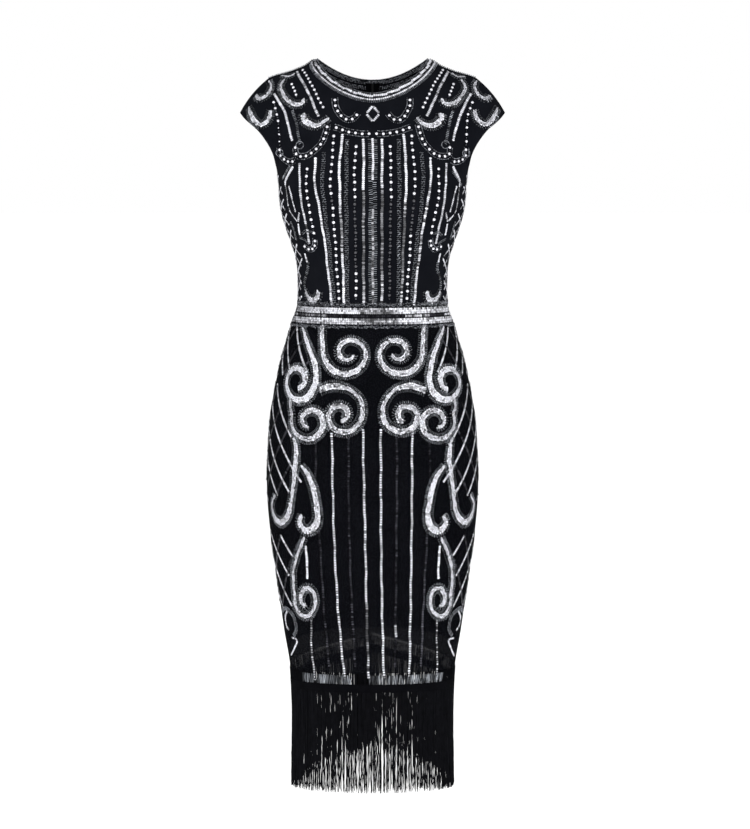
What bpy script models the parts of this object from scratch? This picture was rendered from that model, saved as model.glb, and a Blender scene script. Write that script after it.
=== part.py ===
"""Beaded sheath dress with cap sleeves, an inset waistband and a fringed hem, filled out with no wearer.

Metres, +Z up. The front of the dress faces -Y and the wearer's left is +X. The origin is where the
shoulders hold the dress: in its middle plane, level with the neck ends of the shoulder seams. The side
seams and shoulder seams lie in the plane y = 0. Sizes below are millimetres and degrees.
"""
import math

import bmesh
import bpy
import numpy as np
from mathutils import Matrix, Vector

MM = 0.001

# Cloth and seams
CLOTH = 1.5
LINING_CLOTH = 1.0
TAPE = 1.0
FRINGE_DEPTH = 3.0
SEAM_GAP = 0.3

# Levels, measured down from the neck points
UNDERARM = -182.0
WAIST_TOP = -392.0
WAIST_BOTTOM = -426.0
FRONT_HEM = -1005.0
BACK_HEM_RISE = 43.0
TAPE_ABOVE_HEM = 5.0
TAPE_BELOW_HEM = 8.0
FRONT_FRINGE_END = -1171.0
BACK_FRINGE_RISE = 51.0
ARCH_POWER = 0.8
LINING_SIDE_HEM = -950.0
LINING_FRONT_RISE = 48.0
LINING_BACK_RISE = 19.0

# Neck opening
NECK_HALF_WIDTH = 88.0
FRONT_NECK_DROP = 54.0
BACK_NECK_DROP = 34.0
SHOULDER_HALF_WIDTH = 166.0

# The front neck edge lies a little inside an ellipse, like a superellipse with unlike powers
NECK_BOW = 1.7
NECK_TURN = 0.7

# How the chest rolls in towards the shoulder seam: a superellipse on its side
ROLL_IN = 1.7
ROLL_OVER = 0.65

# Cap sleeve
SLEEVE_HEM_TOP = -86.0
SLEEVE_HEM_LOW = -174.0
SLEEVE_HEM_FRONT = 62.0
SLEEVE_HEM_BACK = 58.0
SLEEVE_BULGE = 4.0

# Zip in the middle back seam
ZIP_TOP = -37.0
ZIP_END = -600.0
ZIP_TAPE_WIDTH = 22.0
SLIDER_LEVEL = -47.0
SLIDER_WIDTH = 5.0
SLIDER_LENGTH = 9.0
SLIDER_THICKNESS = 1.4
LUG_THICKNESS = 0.8
LUG_INNER_GAP = 2.4
PIN_RADIUS = 0.5
PIN_HEIGHT = 3.5
LUG_RADIUS = 1.3
EYE_HOLE_RADIUS = 0.85
EYE_RADIUS = 1.5
PULL_THICKNESS = 1.2
PULL_LENGTH = 20.0
PULL_TOP_WIDTH = 1.8
PULL_END_WIDTH = 5.6
PULL_LEAN = 9.0

# Steps along each panel
ANGLE_STEPS = 10
NECK_STEPS = 6
LOWER_BODICE_ROWS = 7
UPPER_BODICE_ROWS = 10
SLEEVE_ROWS = 5
WAIST_ROWS = 2
SKIRT_ROWS = 14
LINING_ROWS = 5
FRINGE_ROWS = 3
FRONT = -1
BACK = 1


def table(names, rows):
    """Named columns of a table of numbers."""
    return {name: np.array(values, float) for name, values in zip(names.split(), zip(*rows))}


# Level cuts through the dress: half width at the side seams, reach to the front and to the back, and how
# square the front is. Above the underarm the half width is that of the whole oval the armhole cuts into.
LEVELS = table("z half_width front back squareness", [
    (10, 196, 110, 95, 2.0),
    (-60, 194, 110, 95, 2.05),
    (-103, 187, 110, 96, 2.1),
    (-133, 174, 112, 97, 2.15),
    (-160, 160.5, 116, 97, 2.2),
    (-182, 153.5, 120, 97, 2.25),
    (-205, 150.5, 124, 96, 2.28),
    (-230, 149, 127, 95, 2.3),
    (-256, 144, 124, 92, 2.25),
    (-294, 131.5, 109, 88, 2.1),
    (-320, 123.5, 100, 85, 2.0),
    (-359, 120, 94, 83, 2.0),
    (-397, 121, 93, 83, 2.0),
    (-423, 130, 95, 88, 2.0),
    (-455, 140.5, 98, 97, 2.0),
    (-514, 155, 105, 114, 2.0),
    (-572, 165, 110, 127, 2.0),
    (-630, 169.5, 112, 133, 2.0),
    (-689, 171, 111, 131, 2.0),
    (-767, 165, 107, 123, 2.0),
    (-845, 154, 102, 115, 2.0),
    (-923, 143, 98, 109, 2.0),
    (-981, 133.5, 95, 104, 2.0),
    (-1010, 131.5, 94, 102, 2.0),
    (-1180, 131, 93, 101, 2.0),
])
# Height of the shoulder line, from the neck outwards
SHOULDER = table("x z", [
    (0, 0), (84, 0), (90, -0.5), (98, -3), (107, -9.5), (117, -14), (136, -21), (155, -26), (166, -30),
])
# Armhole seam and sleeve hem, seen from the front
ARMHOLE = table("z x", [(-182, 153.5), (-160, 149), (-133, 147), (-103, 150), (-60, 158), (-30, 166)])
SLEEVE_HEM = table("z x", [(-174, 154.5), (-150, 160), (-128, 172), (-110, 187), (-96, 204), (-86, 213)])

BLACK_CLOTH = ("black_mesh", (0.012, 0.012, 0.014), 0.85, 0.0)
SILVER_BAND = ("silver_beading", (0.62, 0.62, 0.66), 0.35, 0.6)
BLACK_LINING = ("black_lining", (0.008, 0.008, 0.009), 0.6, 0.0)
BLACK_FRINGE = ("black_fringe", (0.010, 0.010, 0.011), 0.5, 0.0)
BLACK_METAL = ("black_metal", (0.02, 0.02, 0.022), 0.3, 1.0)


def smooth_curve(at, knots, values):
    """Values between the rows of a table, on a cubic that runs smoothly through every row."""
    order = np.argsort(knots)
    knots, values = knots[order], values[order]
    slopes = np.gradient(values, knots)
    at = np.clip(at, knots[0], knots[-1])
    low = np.clip(np.searchsorted(knots, at, side="right") - 1, 0, len(knots) - 2)
    span = knots[low + 1] - knots[low]
    t = (at - knots[low]) / span
    start = (1 + 2 * t) * (1 - t) ** 2 * values[low] + t * (1 - t) ** 2 * span * slopes[low]
    end = t * t * (3 - 2 * t) * values[low + 1] + t * t * (t - 1) * span * slopes[low + 1]
    return start + end


def level(name, z):
    """One column of LEVELS at any height."""
    return smooth_curve(z, LEVELS["z"], LEVELS[name])


def shoulder_height(x):
    """Height of the shoulder line at a distance from the middle."""
    return smooth_curve(np.abs(x), SHOULDER["x"], SHOULDER["z"])


def cloth_y(x, z, side):
    """The cloth's place along Y, for a point given in front view. side is FRONT or BACK."""
    share = np.minimum(np.abs(x) / level("half_width", z), 1.0)
    power = level("squareness", z) if side == FRONT else 2.0
    reach = level("front" if side == FRONT else "back", z)
    oval = reach * (1 - share**power) ** (1 / power)
    climb = np.clip((z - UNDERARM) / (shoulder_height(x) - UNDERARM), 0.0, 1.0)
    return side * oval * (1 - climb**ROLL_IN) ** ROLL_OVER


def cloth_points(x, z, side):
    """Points on the cloth, for arrays of places in front view."""
    x, z = np.broadcast_arrays(x, z)
    return np.stack([x, cloth_y(x, z, side), z], axis=-1)


def mirrored(points):
    """The same grid on the other side of the middle plane, in the same turning order."""
    return points[:, ::-1] * np.array([-1.0, 1.0, 1.0])


def both_halves(points):
    """A grid from the middle outwards, joined to its mirror image."""
    return np.concatenate([mirrored(points)[:, :-1], points], axis=1)


def grid_normals(points, closed=False):
    """Unit normals of a grid of points, seen from where its columns run left to right."""
    if closed:
        wrapped = np.concatenate([points[:, -1:], points, points[:, :1]], axis=1)
        along = np.gradient(wrapped, axis=1)[:, 1:-1]
    else:
        along = np.gradient(points, axis=1)
    normals = np.cross(along, np.gradient(points, axis=0))
    return normals / np.linalg.norm(normals, axis=2, keepdims=True)


def flattened(normals, axis):
    """Unit normals with no part along one axis, so that walls meet squarely at a seam there."""
    flat = normals.copy()
    flat[..., axis] = 0.0
    return flat / np.linalg.norm(flat, axis=-1, keepdims=True)


def pulled_in(points, closed):
    """The grid with each open edge moved in by half a seam gap, or by a whole one where a tube starts."""

    def step(edge, inner):
        away = inner - edge
        return away / np.linalg.norm(away, axis=-1, keepdims=True) * SEAM_GAP / 2

    result = points.copy()
    result[0] += step(points[0], points[1]) * (2 if closed else 1)
    result[-1] += step(points[-1], points[-2])
    if not closed:
        result[:, 0] += step(points[:, 0], points[:, 1])
        result[:, -1] += step(points[:, -1], points[:, -2])
    return result


def principled(name, colour, roughness, metallic):
    """A plain material."""
    material = bpy.data.materials.get(name) or bpy.data.materials.new(name)
    material.use_nodes = True
    shader = material.node_tree.nodes["Principled BSDF"]
    shader.inputs["Base Color"].default_value = (*colour, 1.0)
    shader.inputs["Roughness"].default_value = roughness
    shader.inputs["Metallic"].default_value = metallic
    return material


def add_object(name, mesh, finish, smooth_angle=40):
    """A named object with its own material."""
    obj = bpy.data.objects.new(name, mesh)
    bpy.context.scene.collection.objects.link(obj)
    mesh.materials.append(principled(*finish))
    mesh.shade_smooth()
    mesh.set_sharp_from_angle(angle=math.radians(smooth_angle))
    return obj


def wall(name, points, normals, outside, inside, finish, closed=False):
    """A closed cloth wall on a grid: from outside mm above its points to inside mm below them."""
    rows, columns = points.shape[:2]
    outer = pulled_in(points + normals * outside, closed)
    inner = pulled_in(points - normals * inside, closed)
    bm = bmesh.new()
    skins = [[[bm.verts.new(Vector(p) * MM) for p in row] for row in skin] for skin in (outer, inner)]
    spans = range(columns if closed else columns - 1)
    for skin in skins:
        for r in range(rows - 1):
            for c in spans:
                d = (c + 1) % columns
                bm.faces.new((skin[r][c], skin[r][d], skin[r + 1][d], skin[r + 1][c]))
    top, bottom = rows - 1, 0
    for r in (bottom, top):
        for c in spans:
            d = (c + 1) % columns
            bm.faces.new((skins[0][r][c], skins[0][r][d], skins[1][r][d], skins[1][r][c]))
    if not closed:
        for c in (0, columns - 1):
            for r in range(rows - 1):
                bm.faces.new((skins[0][r][c], skins[0][r + 1][c], skins[1][r + 1][c], skins[1][r][c]))
    bmesh.ops.recalc_face_normals(bm, faces=bm.faces)
    mesh = bpy.data.meshes.new(name)
    bm.to_mesh(mesh)
    bm.free()
    return add_object(name, mesh, finish)


def angle_columns():
    """Angles of a half panel's columns, from the middle to the side seam."""
    return np.linspace(0, math.pi / 2, ANGLE_STEPS + 1)


def level_rows(top, bottom, rows, side):
    """Half panel of rows from bottom to top. top and bottom are a height, or one for each column."""
    angles = angle_columns()
    share = np.linspace(0, 1, rows + 1)[:, None]
    z = bottom + (np.broadcast_to(top, angles.shape) - bottom) * share
    return cloth_points(level("half_width", z) * np.sin(angles), z, side)


def bodice_half(side):
    """Half a bodice panel, from its middle to the side seam and armhole, and up to neck and shoulder."""
    lower = level_rows(UNDERARM, WAIST_TOP, LOWER_BODICE_ROWS, side)
    neck = np.linspace(0, math.pi / 2, NECK_STEPS + 1)
    shoulder = np.linspace(NECK_HALF_WIDTH, SHOULDER_HALF_WIDTH, ANGLE_STEPS - NECK_STEPS + 1)[1:]
    neck_x = NECK_HALF_WIDTH * np.sin(neck)
    neck_z = -BACK_NECK_DROP * np.cos(neck) ** 2
    if side == FRONT:
        neck_z = -FRONT_NECK_DROP * (1 - np.sin(neck) ** NECK_BOW) ** NECK_TURN
    top_x = np.concatenate([neck_x, shoulder])
    top_z = np.concatenate([neck_z[:-1], shoulder_height(top_x[NECK_STEPS:])])
    bottom_x = lower[-1, :, 0]
    to_armhole = np.linspace(0, 1, ANGLE_STEPS + 1) ** 4
    rows = []
    for climb in (1 - np.cos(np.linspace(0, math.pi, UPPER_BODICE_ROWS + 1)[1:])) / 2:
        z = UNDERARM + climb * (top_z - UNDERARM)
        x = bottom_x + climb * (top_x - bottom_x)
        x = x + to_armhole * (smooth_curve(z[-1], ARMHOLE["z"], ARMHOLE["x"]) - x[-1])
        rows.append(cloth_points(x, z, side))
    return np.concatenate([lower, np.array(rows)])


def bodice_normals(points, side):
    """Outward normals of a half bodice panel, square to the seams that it shares."""
    normals = grid_normals(points) * -side
    normals[:, 0] = flattened(normals[:, 0], 0)
    side_rows = LOWER_BODICE_ROWS + 1
    normals[:side_rows, -1] = flattened(normals[:side_rows, -1], 1)
    seam = points[-1, NECK_STEPS:]
    slope = np.gradient(seam[:, 2], seam[:, 0])
    across = np.stack([-slope, np.zeros_like(slope), np.ones_like(slope)], axis=1)
    normals[-1, NECK_STEPS:] = across / np.linalg.norm(across, axis=1, keepdims=True)
    return normals


def panel_normals(points, side):
    """Outward normals of a half panel below the bodice."""
    normals = grid_normals(points) * -side
    normals[:, 0] = flattened(normals[:, 0], 0)
    normals[:, -1] = flattened(normals[:, -1], 1)
    return normals


def add_front(name, points, normals, outside, inside, finish):
    """A front piece, cut whole across the middle."""
    whole = both_halves(points)
    left = normals[:, ::-1] * np.array([-1.0, 1.0, 1.0])
    wall(name, whole, np.concatenate([left[:, :-1], normals], axis=1), outside, inside, finish)


def add_back_halves(name, points, normals, outside, inside, finish):
    """A back piece's two halves, either side of the middle back seam."""
    wall(name + "_left", points, normals, outside, inside, finish)
    turned = normals[:, ::-1] * np.array([-1.0, 1.0, 1.0])
    wall(name + "_right", mirrored(points), turned, outside, inside, finish)


def armhole_loop(panels):
    """Points and normals round an armhole: up its front edge, over the shoulder and down its back edge."""
    first = LOWER_BODICE_ROWS
    parts = []
    for grid in zip(*panels):
        front, back = grid[0][first:, -1], grid[1][first:, -1]
        parts.append(np.concatenate([front, back[-2:0:-1]]))
    return parts


def add_sleeves(front, back):
    """Both cap sleeves, from the armhole seam to their own hem. front and back are (points, normals)."""
    seam, seam_normals = armhole_loop([front, back])
    climb = (seam[:, 2] - UNDERARM) / (seam[UPPER_BODICE_ROWS, 2] - UNDERARM)
    z = SLEEVE_HEM_LOW + climb * (SLEEVE_HEM_TOP - SLEEVE_HEM_LOW)
    depth = np.where(seam[:, 1] > 0, SLEEVE_HEM_BACK, -SLEEVE_HEM_FRONT)
    y = depth * 2 * np.sqrt(np.clip(climb * (1 - climb), 0, None))
    hem = np.stack([smooth_curve(z, SLEEVE_HEM["z"], SLEEVE_HEM["x"]), y, z], axis=1)
    share = np.linspace(0, 1, SLEEVE_ROWS + 1)[:, None, None]
    flat = seam + (hem - seam) * share
    out = grid_normals(flat, closed=True) * -1
    points = flat + out * SLEEVE_BULGE * 4 * share * (1 - share) * climb[None, :, None]
    normals = grid_normals(points, closed=True) * -1
    normals[0] = seam_normals
    wall("sleeve_left", points, normals, 0, CLOTH, BLACK_CLOTH, closed=True)
    turned = normals[:, ::-1] * np.array([-1.0, 1.0, 1.0])
    wall("sleeve_right", mirrored(points), turned, 0, CLOTH, BLACK_CLOTH, closed=True)


def arch(rise):
    """How far the back hem's level rises at each column, most at the middle back."""
    return rise * (1 - (angle_columns() / (math.pi / 2)) ** ARCH_POWER)


def add_bodice_and_sleeves():
    grids = {side: bodice_half(side) for side in (FRONT, BACK)}
    normals = {side: bodice_normals(grids[side], side) for side in (FRONT, BACK)}
    add_front("bodice_front", grids[FRONT], normals[FRONT], 0, CLOTH, BLACK_CLOTH)
    add_back_halves("bodice_back", grids[BACK], normals[BACK], 0, CLOTH, BLACK_CLOTH)
    add_sleeves((grids[FRONT], normals[FRONT]), (grids[BACK], normals[BACK]))


def waistband_half(side):
    return level_rows(WAIST_TOP, WAIST_BOTTOM, WAIST_ROWS, side)


def add_waistband():
    for side, add in ((FRONT, add_front), (BACK, add_back_halves)):
        points = waistband_half(side)
        name = "waistband_front" if side == FRONT else "waistband_back"
        add(name, points, panel_normals(points, side), 0, CLOTH, SILVER_BAND)


def hem_levels(side):
    """The hem's level at each column."""
    flat = np.full(ANGLE_STEPS + 1, FRONT_HEM)
    return flat if side == FRONT else flat + arch(BACK_HEM_RISE)


def skirt_half(side):
    return level_rows(WAIST_BOTTOM, hem_levels(side), SKIRT_ROWS, side)


def add_skirt():
    for side, add in ((FRONT, add_front), (BACK, add_back_halves)):
        points = skirt_half(side)
        name = "skirt_front" if side == FRONT else "skirt_back"
        add(name, points, panel_normals(points, side), 0, CLOTH, BLACK_CLOTH)


def add_lining():
    """The skirt's lining, inside the zip tape and shorter than the mesh over it."""
    depth = CLOTH + SEAM_GAP + TAPE + 2 * SEAM_GAP
    for side, name, rise in (
        (FRONT, "lining_front", LINING_FRONT_RISE),
        (BACK, "lining_back", LINING_BACK_RISE),
    ):
        bottom = LINING_SIDE_HEM + rise * np.cos(angle_columns())
        points = level_rows(WAIST_BOTTOM, bottom, LINING_ROWS, side)
        normals = panel_normals(points, side)
        add_front(name, points, normals, -depth, depth + LINING_CLOTH, BLACK_LINING)


def add_fringe():
    """Fringe tape sewn on the outside of the hem, and the space that its strands fill."""
    for side, name in ((FRONT, "front"), (BACK, "back")):
        hem = hem_levels(side)
        tape_bottom = hem - TAPE_BELOW_HEM
        ends = FRONT_FRINGE_END + (arch(BACK_FRINGE_RISE) if side == BACK else 0)
        tape = level_rows(hem + TAPE_ABOVE_HEM, tape_bottom, 1, side)
        tape_out = SEAM_GAP + TAPE
        add_front("fringe_tape_" + name, tape, panel_normals(tape, side), tape_out, -SEAM_GAP, BLACK_FRINGE)
        strands = level_rows(tape_bottom, ends + np.zeros(ANGLE_STEPS + 1), FRINGE_ROWS, side)
        inside = FRINGE_DEPTH - tape_out
        add_front("fringe_" + name, strands, panel_normals(strands, side), tape_out, inside, BLACK_FRINGE)


def add_zip_tape():
    """The zip's tape, behind the middle back seam, on the back panels' own points from neck to hips."""
    skirt, band, bodice = skirt_half(BACK), waistband_half(BACK), bodice_half(BACK)
    panels = [(skirt[:-1], panel_normals(skirt, BACK)[:-1]), (band[:-1], panel_normals(band, BACK)[:-1])]
    panels.append((bodice, bodice_normals(bodice, BACK)))
    points, normals = (np.concatenate([panel[i][:, :2] for panel in panels]) for i in (0, 1))
    covered = (points[:, 0, 2] >= ZIP_END) & (points[:, 0, 2] <= ZIP_TOP)
    points, normals = points[covered], normals[covered]
    share = ZIP_TAPE_WIDTH / 2 / points[:, 1, 0]
    for grid in (points, normals):
        grid[:, 1] = grid[:, 0] + (grid[:, 1] - grid[:, 0]) * share[:, None]
    depth = CLOTH + SEAM_GAP
    add_front("zip_tape", points, normals, -depth, depth + TAPE, BLACK_CLOTH)


def prism(outline, width):
    """A closed solid: an outline in the YZ plane, drawn out along X about the middle."""
    bm = bmesh.new()
    ends = [[bm.verts.new(Vector((x, y, z)) * MM) for y, z in outline] for x in (-width / 2, width / 2)]
    for end in ends:
        bm.faces.new(end)
    for i in range(len(outline)):
        j = (i + 1) % len(outline)
        bm.faces.new((ends[0][i], ends[0][j], ends[1][j], ends[1][i]))
    bmesh.ops.recalc_face_normals(bm, faces=bm.faces)
    return bm


def arc(centre, radius, start, end, steps):
    """Points on an arc in the YZ plane, angles in degrees from +Y towards +Z."""
    turns = np.radians(np.linspace(start, end, steps + 1))
    return [(centre[0] + radius * math.cos(a), centre[1] + radius * math.sin(a)) for a in turns]


def guide_object(name, bm):
    """A mesh used only by a modifier of another object."""
    mesh = bpy.data.meshes.new(name)
    bm.to_mesh(mesh)
    bm.free()
    obj = bpy.data.objects.new(name, mesh)
    bpy.context.scene.collection.objects.link(obj)
    obj.hide_render = True
    obj.display_type = "WIRE"
    return obj


def boolean(obj, tool, operation):
    modifier = obj.modifiers.new(operation.lower(), "BOOLEAN")
    modifier.operation = operation
    modifier.object = tool


def slider_frame():
    """Where the slider sits: on the middle back seam, local +Y out of the cloth and +Z up along it."""
    step = 1.0
    high, low = (cloth_points(0.0, SLIDER_LEVEL + d, BACK) for d in (step, -step))
    up = Vector(high - low).normalized()
    turn = Matrix.Rotation(math.atan2(-up.y, up.z), 4, "X")
    spot = Vector(cloth_points(0.0, SLIDER_LEVEL, BACK)) * MM
    return Matrix.Translation(spot) @ turn


def add_slider(frame):
    """The slider's nose on the seam, with two lugs and the pin that carries the pull."""
    low, high = SEAM_GAP, SEAM_GAP + SLIDER_THICKNESS
    half = SLIDER_LENGTH / 2
    chamfer = SLIDER_THICKNESS / 2
    body = prism([
        (low, -half), (high - chamfer, -half), (high, -half + chamfer),
        (high, half - chamfer), (high - chamfer, half), (low, half),
    ], SLIDER_WIDTH)
    mesh = bpy.data.meshes.new("zip_slider")
    body.to_mesh(mesh)
    body.free()
    slider = add_object("zip_slider", mesh, BLACK_METAL)
    foot = high - chamfer / 2
    lug_outline = arc((PIN_HEIGHT, 0), LUG_RADIUS, -90, 90, 8) + [(foot, LUG_RADIUS), (foot, -LUG_RADIUS)]
    for sign in (-1, 1):
        lug = guide_object("slider_lug_guide", prism(lug_outline, LUG_THICKNESS))
        lug.location.x = sign * (LUG_INNER_GAP + LUG_THICKNESS) / 2 * MM
        lug.parent = slider
        boolean(slider, lug, "UNION")
    pin = guide_object("slider_pin_guide", prism(
        arc((PIN_HEIGHT, 0), PIN_RADIUS, 0, 330, 11), LUG_INNER_GAP + LUG_THICKNESS))
    pin.parent = slider
    boolean(slider, pin, "UNION")
    slider.matrix_world = frame
    return slider


def add_pull(frame):
    """The drop-shaped pull: a flat plate with an eye, whose origin is on the pin's axis."""
    half = PULL_THICKNESS / 2
    eye_start = math.degrees(math.asin(half / EYE_RADIUS))
    side_outline = arc((0, 0), EYE_RADIUS, -90 + eye_start, 270 - eye_start, 16)
    side_outline += [(-half, -PULL_LENGTH), (half, -PULL_LENGTH)]
    bm = prism(side_outline, PULL_END_WIDTH)
    mesh = bpy.data.meshes.new("zip_pull")
    bm.to_mesh(mesh)
    bm.free()
    pull = add_object("zip_pull", mesh, BLACK_METAL)
    hole = guide_object("pull_hole_guide", prism(arc((0, 0), EYE_HOLE_RADIUS, 0, 345, 23), 2 * PULL_END_WIDTH))
    boolean(pull, hole, "DIFFERENCE")
    top, end = PULL_TOP_WIDTH / 2, PULL_END_WIDTH / 2
    drop = [(top, 2 * EYE_RADIUS), (-top, 2 * EYE_RADIUS), (-top, -EYE_RADIUS)]
    drop += [(x, z) for x, z in arc((0, -PULL_LENGTH + end), end, 180, 360, 10)]
    drop += [(top, -EYE_RADIUS)]
    outline = bmesh.new()
    faces = [
        [outline.verts.new(Vector((x, y, z)) * MM) for x, z in drop]
        for y in (-2 * EYE_RADIUS, 2 * EYE_RADIUS)
    ]
    for face in faces:
        outline.faces.new(face)
    for i in range(len(drop)):
        j = (i + 1) % len(drop)
        outline.faces.new((faces[0][i], faces[0][j], faces[1][j], faces[1][i]))
    bmesh.ops.recalc_face_normals(outline, faces=outline.faces)
    shape = guide_object("pull_shape_guide", outline)
    boolean(pull, shape, "INTERSECT")
    for guide in (hole, shape):
        guide.parent = pull
    lean = Matrix.Rotation(-math.radians(PULL_LEAN), 4, "X")
    pull.matrix_world = frame @ Matrix.Translation((0, PIN_HEIGHT * MM, 0)) @ lean
    return pull


def build():
    for obj in list(bpy.data.objects):
        bpy.data.objects.remove(obj, do_unlink=True)
    add_bodice_and_sleeves()
    add_waistband()
    add_skirt()
    add_lining()
    add_fringe()
    add_zip_tape()
    frame = slider_frame()
    add_slider(frame)
    add_pull(frame)


build()
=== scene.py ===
"""Looks of a beaded dress with a fringed hem: cloth shells, sequins, beads, fringe, zip, light and camera.

Lengths are millimetres and angles degrees until a mesh is written out in metres. +Z is up, the front of the
dress faces -Y and the wearer's left is +X. The origin lies between the shoulders. Ornament is drawn flat,
x across and z up at an even scale in the picture, and then cast along the sight lines onto the cloth.
"""
import math
from collections import defaultdict

import bmesh
import bpy
import numpy as np
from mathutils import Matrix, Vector
from mathutils.bvhtree import BVHTree


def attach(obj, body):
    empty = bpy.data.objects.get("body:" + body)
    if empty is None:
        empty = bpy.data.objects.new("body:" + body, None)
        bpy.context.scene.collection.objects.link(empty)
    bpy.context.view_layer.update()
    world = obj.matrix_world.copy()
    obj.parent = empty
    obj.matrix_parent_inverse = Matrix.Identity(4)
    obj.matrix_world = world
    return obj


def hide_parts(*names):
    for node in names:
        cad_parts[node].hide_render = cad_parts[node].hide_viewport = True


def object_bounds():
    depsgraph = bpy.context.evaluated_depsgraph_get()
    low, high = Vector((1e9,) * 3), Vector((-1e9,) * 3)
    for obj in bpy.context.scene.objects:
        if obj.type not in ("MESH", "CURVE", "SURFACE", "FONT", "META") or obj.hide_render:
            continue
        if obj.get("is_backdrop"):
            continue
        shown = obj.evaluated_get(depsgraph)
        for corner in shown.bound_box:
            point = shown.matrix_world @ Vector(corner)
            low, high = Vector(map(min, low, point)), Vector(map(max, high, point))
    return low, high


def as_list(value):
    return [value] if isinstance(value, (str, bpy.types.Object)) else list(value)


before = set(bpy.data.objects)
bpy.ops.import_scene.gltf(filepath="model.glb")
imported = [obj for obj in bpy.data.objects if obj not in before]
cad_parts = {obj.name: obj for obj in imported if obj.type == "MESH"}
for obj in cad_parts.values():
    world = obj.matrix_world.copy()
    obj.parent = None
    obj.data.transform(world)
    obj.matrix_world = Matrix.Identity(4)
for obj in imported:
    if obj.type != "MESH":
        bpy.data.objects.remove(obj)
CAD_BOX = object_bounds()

MM = 0.001
FRONT = -1
BACK = 1
MIRROR = np.array([-1.0, 1.0, 1.0])
RANDOM = np.random.default_rng(1926)

# Cloth and seams
SHELL = 0.8
SHARP_EDGE = math.radians(50)
MESH_OVER_TAPE = 23.0
LINING_DEPTH = 3.4
TAPE_STANDS_OUT = 1.3
ZIP_TAPE_DEPTH = 1.8
ZIP_TAPE_THICKNESS = 0.9

# Levels, measured down from the neck points
UNDERARM = -182.0
WAIST_TOP = -392.0
WAIST_BOTTOM = -426.0
FRONT_HEM = -1005.0
BACK_HEM_RISE = 43.0
TAPE_ABOVE_HEM = 5.0
TAPE_BELOW_HEM = 8.0
FRONT_FRINGE_END = -1171.0
BACK_FRINGE_RISE = 51.0
ARCH_POWER = 0.8
LINING_SIDE_HEM = -950.0
LINING_FRONT_RISE = 48.0
LINING_BACK_RISE = 19.0

# Neck opening and shoulders
NECK_HALF_WIDTH = 88.0
FRONT_NECK_DROP = 54.0
BACK_NECK_DROP = 34.0
NECK_BOW = 1.7
NECK_TURN = 0.7
SHOULDER_HALF_WIDTH = 166.0
ROLL_IN = 1.7
ROLL_OVER = 0.65

# Cap sleeve
SLEEVE_HEM_TOP = -86.0
SLEEVE_HEM_LOW = -174.0
SLEEVE_HEM_FRONT = 62.0
SLEEVE_HEM_BACK = 58.0
SLEEVE_BULGE = 4.0

# Zip
ZIP_TOP = -37.0
ZIP_END = -600.0
ZIP_TAPE_WIDTH = 22.0
COIL_PITCH = 1.3
COIL_WIDTH = 3.4
COIL_WIRE = 0.8
COIL_LIFT = 0.35

# Steps along each panel
ANGLE_STEPS = 36
NECK_STEPS = 20
LOWER_BODICE_ROWS = 34
UPPER_BODICE_ROWS = 36
SLEEVE_ROWS = 14
WAIST_ROWS = 6
SKIRT_ROWS = 96
LINING_ROWS = 48
TAPE_ROWS = 8

# Camera: a long lens far away, a little above the shoulders, looking slightly down
EYE = (4.0, -8000.0, 30.0)
LOOK_DOWN = 4.309
LONG_SIDE_PIXELS = 829
FOCAL_PIXELS = 4967
SENSOR = 36.0

# The drawing of the ornament: its scale in the picture, and where its x = 0 and z = 0 lie from the centre
DRAWING_SCALE = 1.62
DRAWING_CENTRE_X = -2.2
DRAWING_NECK_Y = -355.5


def table(names, rows):
    """Named columns of a table of numbers."""
    return {name: np.array(values, float) for name, values in zip(names.split(), zip(*rows))}


# The dress's form, as in its solids: level cuts, shoulder line, armhole seam and sleeve hem
LEVELS = table("z half_width front back squareness", [
    (10, 196, 110, 95, 2.0),
    (-60, 194, 110, 95, 2.05),
    (-103, 187, 110, 96, 2.1),
    (-133, 174, 112, 97, 2.15),
    (-160, 160.5, 116, 97, 2.2),
    (-182, 153.5, 120, 97, 2.25),
    (-205, 150.5, 124, 96, 2.28),
    (-230, 149, 127, 95, 2.3),
    (-256, 144, 124, 92, 2.25),
    (-294, 131.5, 109, 88, 2.1),
    (-320, 123.5, 100, 85, 2.0),
    (-359, 120, 94, 83, 2.0),
    (-397, 121, 93, 83, 2.0),
    (-423, 130, 95, 88, 2.0),
    (-455, 140.5, 98, 97, 2.0),
    (-514, 155, 105, 114, 2.0),
    (-572, 165, 110, 127, 2.0),
    (-630, 169.5, 112, 133, 2.0),
    (-689, 171, 111, 131, 2.0),
    (-767, 165, 107, 123, 2.0),
    (-845, 154, 102, 115, 2.0),
    (-923, 143, 98, 109, 2.0),
    (-981, 133.5, 95, 104, 2.0),
    (-1010, 131.5, 94, 102, 2.0),
    (-1180, 131, 93, 101, 2.0),
])
SHOULDER = table("x z", [
    (0, 0), (84, 0), (90, -0.5), (98, -3), (107, -9.5), (117, -14), (136, -21), (155, -26), (166, -30),
])
ARMHOLE = table("z x", [(-182, 153.5), (-160, 149), (-133, 147), (-103, 150), (-60, 158), (-30, 166)])
SLEEVE_HEM = table("z x", [(-174, 154.5), (-150, 160), (-128, 172), (-110, 187), (-96, 204), (-86, 213)])

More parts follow.
